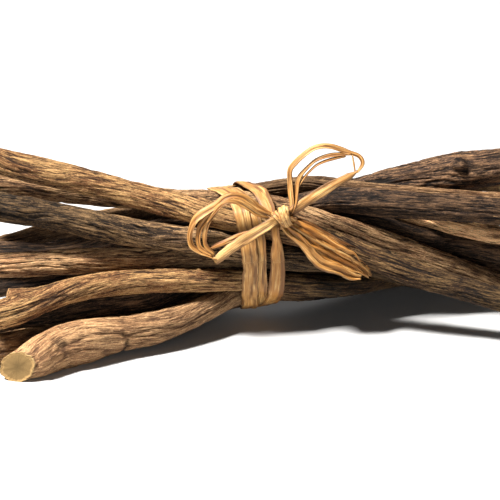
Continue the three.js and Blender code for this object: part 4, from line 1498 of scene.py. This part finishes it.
@dataclass
class RaffiaTie:
    """The raffia: two turns round the roots, the knot, and the bow with its tails."""

    turn_steps: int = 150
    strip_step: float = 0.6
    clear: float = 0.22
    # The route of each turn: turns from the front by way of the floor, and X in the layout
    first_route: tuple = (
        (0, 1.6), (0.1, 1.6), (0.2, 1), (0.35, -1.5), (0.5, -4), (0.65, -10), (0.74, -12.4), (0.77, -10.8),
        (0.8, -6.5), (0.826, -3.6), (0.859, -2), (0.9, -0.5), (0.95, 0.8), (1, 1.6),
    )
    second_route: tuple = (
        (0, 10.3), (0.07, 10), (0.13, 9), (0.2, 6.6), (0.27, 3), (0.35, 0), (0.5, -4), (0.65, -4),
        (0.72, -3), (0.75, -0.8), (0.77, 1.6), (0.8, 4.2), (0.84, 6.5), (0.9, 9), (0.95, 10.1), (1, 10.3),
    )
    first_strands: tuple[TurnStrand, ...] = (
        TurnStrand(-1.5, 0.2, 6.0, 0.45), TurnStrand(2.9, 0.4, 4.0, 0.35),
    )
    # The second turn is drawn together under the knot
    second_strand: TurnStrand = TurnStrand(
        0.0, 0.95, 5.4, 0.6, 1.1,
        (1.0, 1.1, 1.1, 1.0, 0.85, 0.9, 0.95, *[1.0] * 8, 1.05, 1.1, 0.95, 0.5, 0.65, 1.0),
    )
    knot_middle: tuple[float, float, float] = (12.2, -22.2, 47.7)
    knot_axis: tuple[float, float, float] = (0.87, 0.0, 0.5)
    knot_half: tuple[float, float] = (2.9, 3.9)
    windings: tuple[Winding, ...] = (
        Winding(0.9, 1.0, (0.1, 0.0), 3.1, 0.1), Winding(-1.1, 0.9, (-0.22, 0.1), 2.5, 0.5),
        Winding(0.0, 0.84, (0.7, 0.3), 2.6, 0.4), Winding(0.3, 0.78, (-0.9, 0.2), 2.6, 0.4),
    )

    FIRST_SEED, SECOND_SEED, BOW_SEED, KNOT_SEED = 100, 120, 200, 300
    NEAR_TIE = 26.0
    LEANS = np.radians(np.arange(-75, 76, 3))
    EDGE_ROOM = 0.6
    # What is left of a strip's reach, from one step to the next, where the roots under it fall away
    FALL_SHARE = 0.995
    ROUTE_EASE = 3.0
    WANDER = 0.5
    WANDER_RADIUS = 1.3
    KNOT_STEPS = 56
    TURN_FOLD, TURN_CURL = 0.08, 0.05
    KNOT_FOLD, KNOT_CURL = 0.14, 0.3
    FEWEST_STEPS = 12
    # How far off the bark the bow lies, and how far from it the bark is looked for
    BOW_ROOM = 0.55
    BARK_REACH = 3.0
    BARK_PULL = 1.5
    LAID_EASE, FACING_EASE = 2.0, 4.0

    def taut_reach(self, bark: np.ndarray, x: float, half: float, angle: float) -> float:
        """Finds how far a taut strip lies from the tie's middle.

        Args:
            bark: points of all the roots near the tie, in the layout.
            x: the strip's place along the bundle.
            half: half of the strip's width.
            angle: the direction looked in, seen along X.

        Returns:
            The reach of the outline that a taut strip takes there.
        """
        near = bark[np.abs(bark[:, 0] - x) < half]
        turned = angle + self.LEANS
        held = (near[:, 1:] - (0.0, TIE_Z)) @ np.stack([np.cos(turned), np.sin(turned)])
        return float((held.max(axis=0) / np.cos(self.LEANS)).min()) + self.clear

    def turn(self, bark: np.ndarray, route: tuple, strand: TurnStrand, seed: int) -> Strip:
        """Lays one strand of a turn round the roots.

        Args:
            bark: points of all the roots near the tie, in the layout.
            route: where the turn lies along X as it goes round.
            strand: the strand.
            seed: picks its unevenness.

        Returns:
            The strand.
        """
        turned, x_route = np.array(route).T
        x_at = np.interp(np.arange(self.turn_steps) / self.turn_steps, turned, x_route)
        half_way = self.turn_steps // 2
        x_at = np.roll(eased(np.roll(x_at, half_way), self.ROUTE_EASE), -half_way)
        angles = math.pi + angles_round(self.turn_steps)
        wander = self.WANDER * Grain(seed).at(noise_ring(angles, self.WANDER_RADIUS, seed))
        x_at = x_at + strand.shift + wander
        half = strand.width / 2 + self.EDGE_ROOM
        reach = np.array([self.taut_reach(bark, x, half, angle) for x, angle in zip(x_at, angles)])
        reach = np.maximum(reach, np.roll(reach, 1) * self.FALL_SHARE) + strand.lift
        level = np.zeros(self.turn_steps)
        out = np.stack([level, np.cos(angles), np.sin(angles)], axis=1)
        line = out * reach[:, None] + np.stack([x_at, level, level + TIE_Z], axis=1)
        return Strip(placed(line), out, strand.width, seed, closed=True, fold=self.TURN_FOLD,
                     folds=strand.folds, curl=self.TURN_CURL, age=strand.age, swells=strand.swells)

    def bow_strips(self, trees: list[BVHTree]) -> list[Strip]:
        """Makes the loops and the tails.

        Args:
            trees: the bark of each root, for the tails to lie on.

        Returns:
            The strips.
        """
        made = []
        for number, run in enumerate(LEFT_LOOP + RIGHT_LOOP + TAILS):
            points = placed(run.path)
            line = rounded(points, max(int(run_lengths(points)[-1] / self.strip_step), self.FEWEST_STEPS))
            facing = np.tile(unit(np.array(run.faces)), (len(line), 1))
            line, facing = self.lay_on(line, facing, trees)
            made.append(Strip(line, facing, run.width, self.BOW_SEED + number, fold=run.fold * run.width,
                              folds=run.folds, twist=run.twist, age=run.age, ends=run.ends,
                              swells=run.swells))
        return made

    def lay_on(
        self, line: np.ndarray, facing: np.ndarray, trees: list[BVHTree]
    ) -> tuple[np.ndarray, np.ndarray]:
        """Lifts a strip clear of the roots that it lies on.

        Args:
            line: the strip's middle line.
            facing: the way that its broad side faces.
            trees: the bark of each root.

        Returns:
            The moved line, and the way that it faces there.
        """
        for k, spot in enumerate(line):
            for tree in trees:
                at, normal, _, _ = tree.find_nearest(Vector(spot), self.BARK_REACH)
                if at is None:
                    continue
                outward = np.array(normal)
                above = (spot - np.array(at)) @ outward
                if above < self.BOW_ROOM:
                    line[k] = spot = spot + outward * (self.BOW_ROOM - above)
                if above < self.BOW_ROOM * 2:
                    facing[k] = unit(facing[k] + self.BARK_PULL * outward)
        return eased(line, self.LAID_EASE), unit(eased(facing, self.FACING_EASE))

    def knot(self) -> list[Strip]:
        """Winds the strips of the knot round the bow.

        Returns:
            The strips.
        """
        made = []
        turns = angles_round(self.KNOT_STEPS)
        forward, upward = np.cos(turns)[:, None], np.sin(turns)[:, None]
        axis = unit(np.array(self.knot_axis))
        front = np.array([0.0, -1.0, 0.0])
        up = np.cross(front, axis)
        deep_half, high_half = self.knot_half
        out = unit(forward * front / deep_half + upward * up / high_half)
        for number, winding in enumerate(self.windings):
            lean = winding.tilt[0] * upward + winding.tilt[1] * forward
            ring = forward * front * deep_half + upward * up * high_half + axis * lean * high_half
            line = placed(self.knot_middle) + axis * winding.shift + ring * winding.size
            made.append(Strip(line, out, winding.width, self.KNOT_SEED + number, closed=True,
                              fold=self.KNOT_FOLD, folds=1.3, curl=self.KNOT_CURL, age=winding.age))
        return made

    def build(self, roots: list[Root]) -> list[bpy.types.Object]:
        """Makes the whole tie.

        Args:
            roots: the finished roots.

        Returns:
            The pieces of raffia.
        """
        bark = np.concatenate([root.points for root in roots]) + LAYOUT_MIDDLE
        bark = bark[np.abs(bark[:, 0] - TIE_X) < self.NEAR_TIE]
        trees = []
        for root in roots:
            faces = grid_faces(root.stations, root.sides).tolist()
            trees.append(BVHTree.FromPolygons(root.points.tolist(), faces))
        turns = []
        for number, strand in enumerate(self.first_strands):
            turns.append(self.turn(bark, self.first_route, strand, self.FIRST_SEED + number))
        turns.append(self.turn(bark, self.second_route, self.second_strand, self.SECOND_SEED))
        return [
            join_strips("raffia_turns", turns),
            join_strips("raffia_bow", self.bow_strips(trees)),
            join_strips("raffia_knot", self.knot()),
        ]

    def dress(self, pieces: list[bpy.types.Object], material: bpy.types.Material) -> None:
        """Gives the pieces their material and hands them over.

        Args:
            pieces: the finished pieces of raffia.
            material: the raffia's material.
        """
        for piece in pieces:
            piece.data.materials.append(material)
            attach(piece, "root")
            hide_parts("raffia_tie")


@dataclass
class BarkSplinters:
    """Small splinters of bark that stand off the roots, scattered by a node tree."""

    per_square_metre: float = 5200.0
    length: float = 2.6 * MM
    thickness: float = 0.16 * MM
    seed: int = 7
    # How far a splinter leans off the bark, how small the smallest is and how many sides it has
    lean: float = 0.22
    smallest: float = 0.35
    sides: int = 5

    def tree(self, material: bpy.types.Material) -> tuple[bpy.types.NodeTree, dict[str, str]]:
        """Builds the node tree.

        Args:
            material: the splinters' material.

        Returns:
            The tree, and the identifier of each named input.
        """
        tree = bpy.data.node_groups.new("bark_splinters", "GeometryNodeTree")
        tree.interface.new_socket("Geometry", in_out="INPUT", socket_type="NodeSocketGeometry")
        names = {"Density": NUMBER, "Length": NUMBER, "Thickness": NUMBER, "Seed": "NodeSocketInt"}
        sockets = {name: tree.interface.new_socket(name, in_out="INPUT", socket_type=kind).identifier
                   for name, kind in names.items()}
        tree.interface.new_socket("Geometry", in_out="OUTPUT", socket_type="NodeSocketGeometry")
        wire = Wiring(tree)
        given = wire.add("NodeGroupInput").outputs
        spread = wire.add("GeometryNodeDistributePointsOnFaces", {
            "Mesh": given["Geometry"], "Density": given["Density"], "Seed": given["Seed"],
        }).outputs
        along = wire.add("GeometryNodeInputNamedAttribute", {"Name": "along"}, data_type="FLOAT_VECTOR")
        lifted = wire.scale(spread["Normal"], self.lean)
        way = wire.add("ShaderNodeVectorMath", {0: along.outputs["Attribute"], 1: lifted}, operation="ADD")
        turn = wire.add("FunctionNodeAlignRotationToVector", {"Vector": way.outputs[0]}, axis="Z")
        splinter = wire.add("GeometryNodeMeshCone", {
            "Vertices": self.sides, "Radius Top": 0.0, "Radius Bottom": given["Thickness"],
            "Depth": given["Length"],
        })
        sizes = {2: self.smallest, 3: 1.0, "Seed": given["Seed"]}
        size = wire.add("FunctionNodeRandomValue", sizes, data_type="FLOAT")
        stuck = wire.add("GeometryNodeInstanceOnPoints", {
            "Points": spread["Points"], "Instance": splinter.outputs["Mesh"],
            "Rotation": turn.outputs[0], "Scale": size.outputs[1],
        })
        real = wire.add("GeometryNodeRealizeInstances", {0: stuck.outputs[0]})
        dressed = wire.add("GeometryNodeSetMaterial", {"Geometry": real.outputs[0], "Material": material})
        wire.add("NodeGroupOutput", {0: dressed.outputs[0]})
        return tree, sockets

    def build(self, roots: list[bpy.types.Object], material: bpy.types.Material) -> bpy.types.Object:
        """Scatters the splinters over the roots.

        Args:
            roots: the finished roots.
            material: the splinters' material.

        Returns:
            One piece with all the splinters.
        """
        tree, sockets = self.tree(material)
        found = []
        values = {"Density": self.per_square_metre, "Length": self.length, "Thickness": self.thickness}
        for number, root in enumerate(roots):
            carrier = linked("splinter_carrier", root.data)
            modifier = carrier.modifiers.new("splinters", "NODES")
            modifier.node_group = tree
            for name, value in values.items():
                modifier[sockets[name]] = value
            modifier[sockets["Seed"]] = self.seed + number
            seen = carrier.evaluated_get(bpy.context.evaluated_depsgraph_get())
            found.append(bpy.data.meshes.new_from_object(seen))
            carrier.modifiers.remove(modifier)
            bpy.data.objects.remove(carrier)
        made = join_meshes("bark_splinters", found)
        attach(made, "root")
        return made


def join_meshes(name: str, meshes: list[bpy.types.Mesh]) -> bpy.types.Object:
    """Joins plain meshes into one object.

    Args:
        name: the object's name.
        meshes: the meshes, which are used up.

    Returns:
        The object.
    """
    work = bmesh.new()
    for mesh in meshes:
        work.from_mesh(mesh)
    whole = bpy.data.meshes.new(name)
    work.to_mesh(whole)
    work.free()
    for material in meshes[0].materials:
        whole.materials.append(material)
    for mesh in meshes:
        bpy.data.meshes.remove(mesh)
    return linked(name, whole)


@dataclass(frozen=True)
class Lamp:
    """A soft square light: where it hangs and what it points at, in millimetres, its size and its power."""

    name: str
    at: tuple[float, float, float]
    aim: tuple[float, float, float]
    size: float
    power: float
    color: tuple[float, float, float] = (1.0, 1.0, 1.0)

    def hang(self) -> None:
        """Adds the light to the scene."""
        light = bpy.data.lights.new(self.name, "AREA")
        light.energy = self.power
        light.size = self.size * MM
        light.color = self.color
        lamp = linked(self.name, light)
        lamp.location = Vector(self.at) * MM
        way = Vector(self.aim) * MM - lamp.location
        lamp.rotation_euler = way.to_track_quat("-Z", "Y").to_euler()


@dataclass
class Studio:
    """The camera, the pale floor and the soft lights."""

    # The viewpoint in the layout: what it looks at, how far away and how high above it
    target: tuple[float, float, float] = (0.0, 0.0, 27.0)
    distance: float = 600.0
    elevation: float = math.radians(20)
    focal_length: float = 112.3
    sensor: float = 36.0
    # What the camera sees, from nearest to farthest, in metres
    sight: tuple[float, float] = (0.01, 20.0)
    floor_half: float = 4000.0
    floor_color: tuple = (0.5, 0.5, 0.5, 1.0)
    floor_shine: float = 0.1
    floor_roughness: float = 0.9
    world_color: tuple = (0.93, 0.96, 1.0, 1.0)
    world_strength: float = 0.025
    lamps: tuple[Lamp, ...] = (
        Lamp("key", (-576, -256, 1144), (0, 0, 20), 224, 59.0, (1.0, 0.98, 0.95)),
        Lamp("backdrop", (60, 1040, 420), (60, 1040, 0), 1200, 5.5),
        Lamp("fill", (-250, -900, 150), (0, 0, 30), 420, 2.2),
    )

    def camera(self) -> None:
        """Places the camera at the photograph's viewing angle."""
        data = bpy.data.cameras.new("camera")
        data.lens = self.focal_length
        data.sensor_width = self.sensor
        data.clip_start, data.clip_end = self.sight
        camera = linked("camera", data)
        away = Vector((0, -math.cos(self.elevation), math.sin(self.elevation))) * self.distance * MM
        camera.location = Vector(placed(self.target)) * MM + away
        camera.rotation_euler = (-away).to_track_quat("-Z", "Y").to_euler()
        bpy.context.scene.camera = camera

    def floor(self) -> None:
        """Lays the pale floor."""
        half = self.floor_half
        corners = np.array([[-half, -half, 0], [half, -half, 0], [half, half, 0], [-half, half, 0]])
        mesh = fill_mesh("floor", corners, np.array([[0, 1, 2, 3]]), NO_FACES)
        paper, _, shader = new_material("pale_floor", self.floor_shine, self.floor_roughness)
        shader.inputs["Base Color"].default_value = self.floor_color
        mesh.materials.append(paper)
        linked("floor", mesh)

    def light(self) -> None:
        """Hangs the lamps and sets the faint light of the room."""
        world = bpy.data.worlds.new("soft_room")
        world.use_nodes = True
        background = world.node_tree.nodes["Background"]
        background.inputs["Color"].default_value = self.world_color
        background.inputs["Strength"].default_value = self.world_strength
        bpy.context.scene.world = world
        for lamp in self.lamps:
            lamp.hang()
        bpy.context.scene.view_settings.view_transform = "Standard"


def main() -> None:
    """Builds the bundle and its surroundings, and reports each piece."""
    logging.basicConfig(level=logging.INFO, format="%(message)s")
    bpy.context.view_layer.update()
    studio = Studio()
    studio.camera()
    group = BarkPattern().group()
    barks = {finish.tone: finish.material(group) for finish in FINISHES}
    wood = CutWoodFinish().material()
    pieces = []
    for root in ROOTS:
        pieces.append(root.build())
        root.dress(pieces[-1], barks[root.tone], wood)
        log.info("%s: %d faces", pieces[-1].name, len(pieces[-1].data.polygons))
    tie = RaffiaTie()
    raffia = tie.build(ROOTS)
    tie.dress(raffia, RaffiaFinish().material())
    splinters = BarkSplinters().build(pieces, barks[BarkTone.TAN])
    for piece in [*raffia, splinters]:
        log.info("%s: %d faces", piece.name, len(piece.data.polygons))
    studio.floor()
    studio.light()


if __name__ == "__main__":
    main()
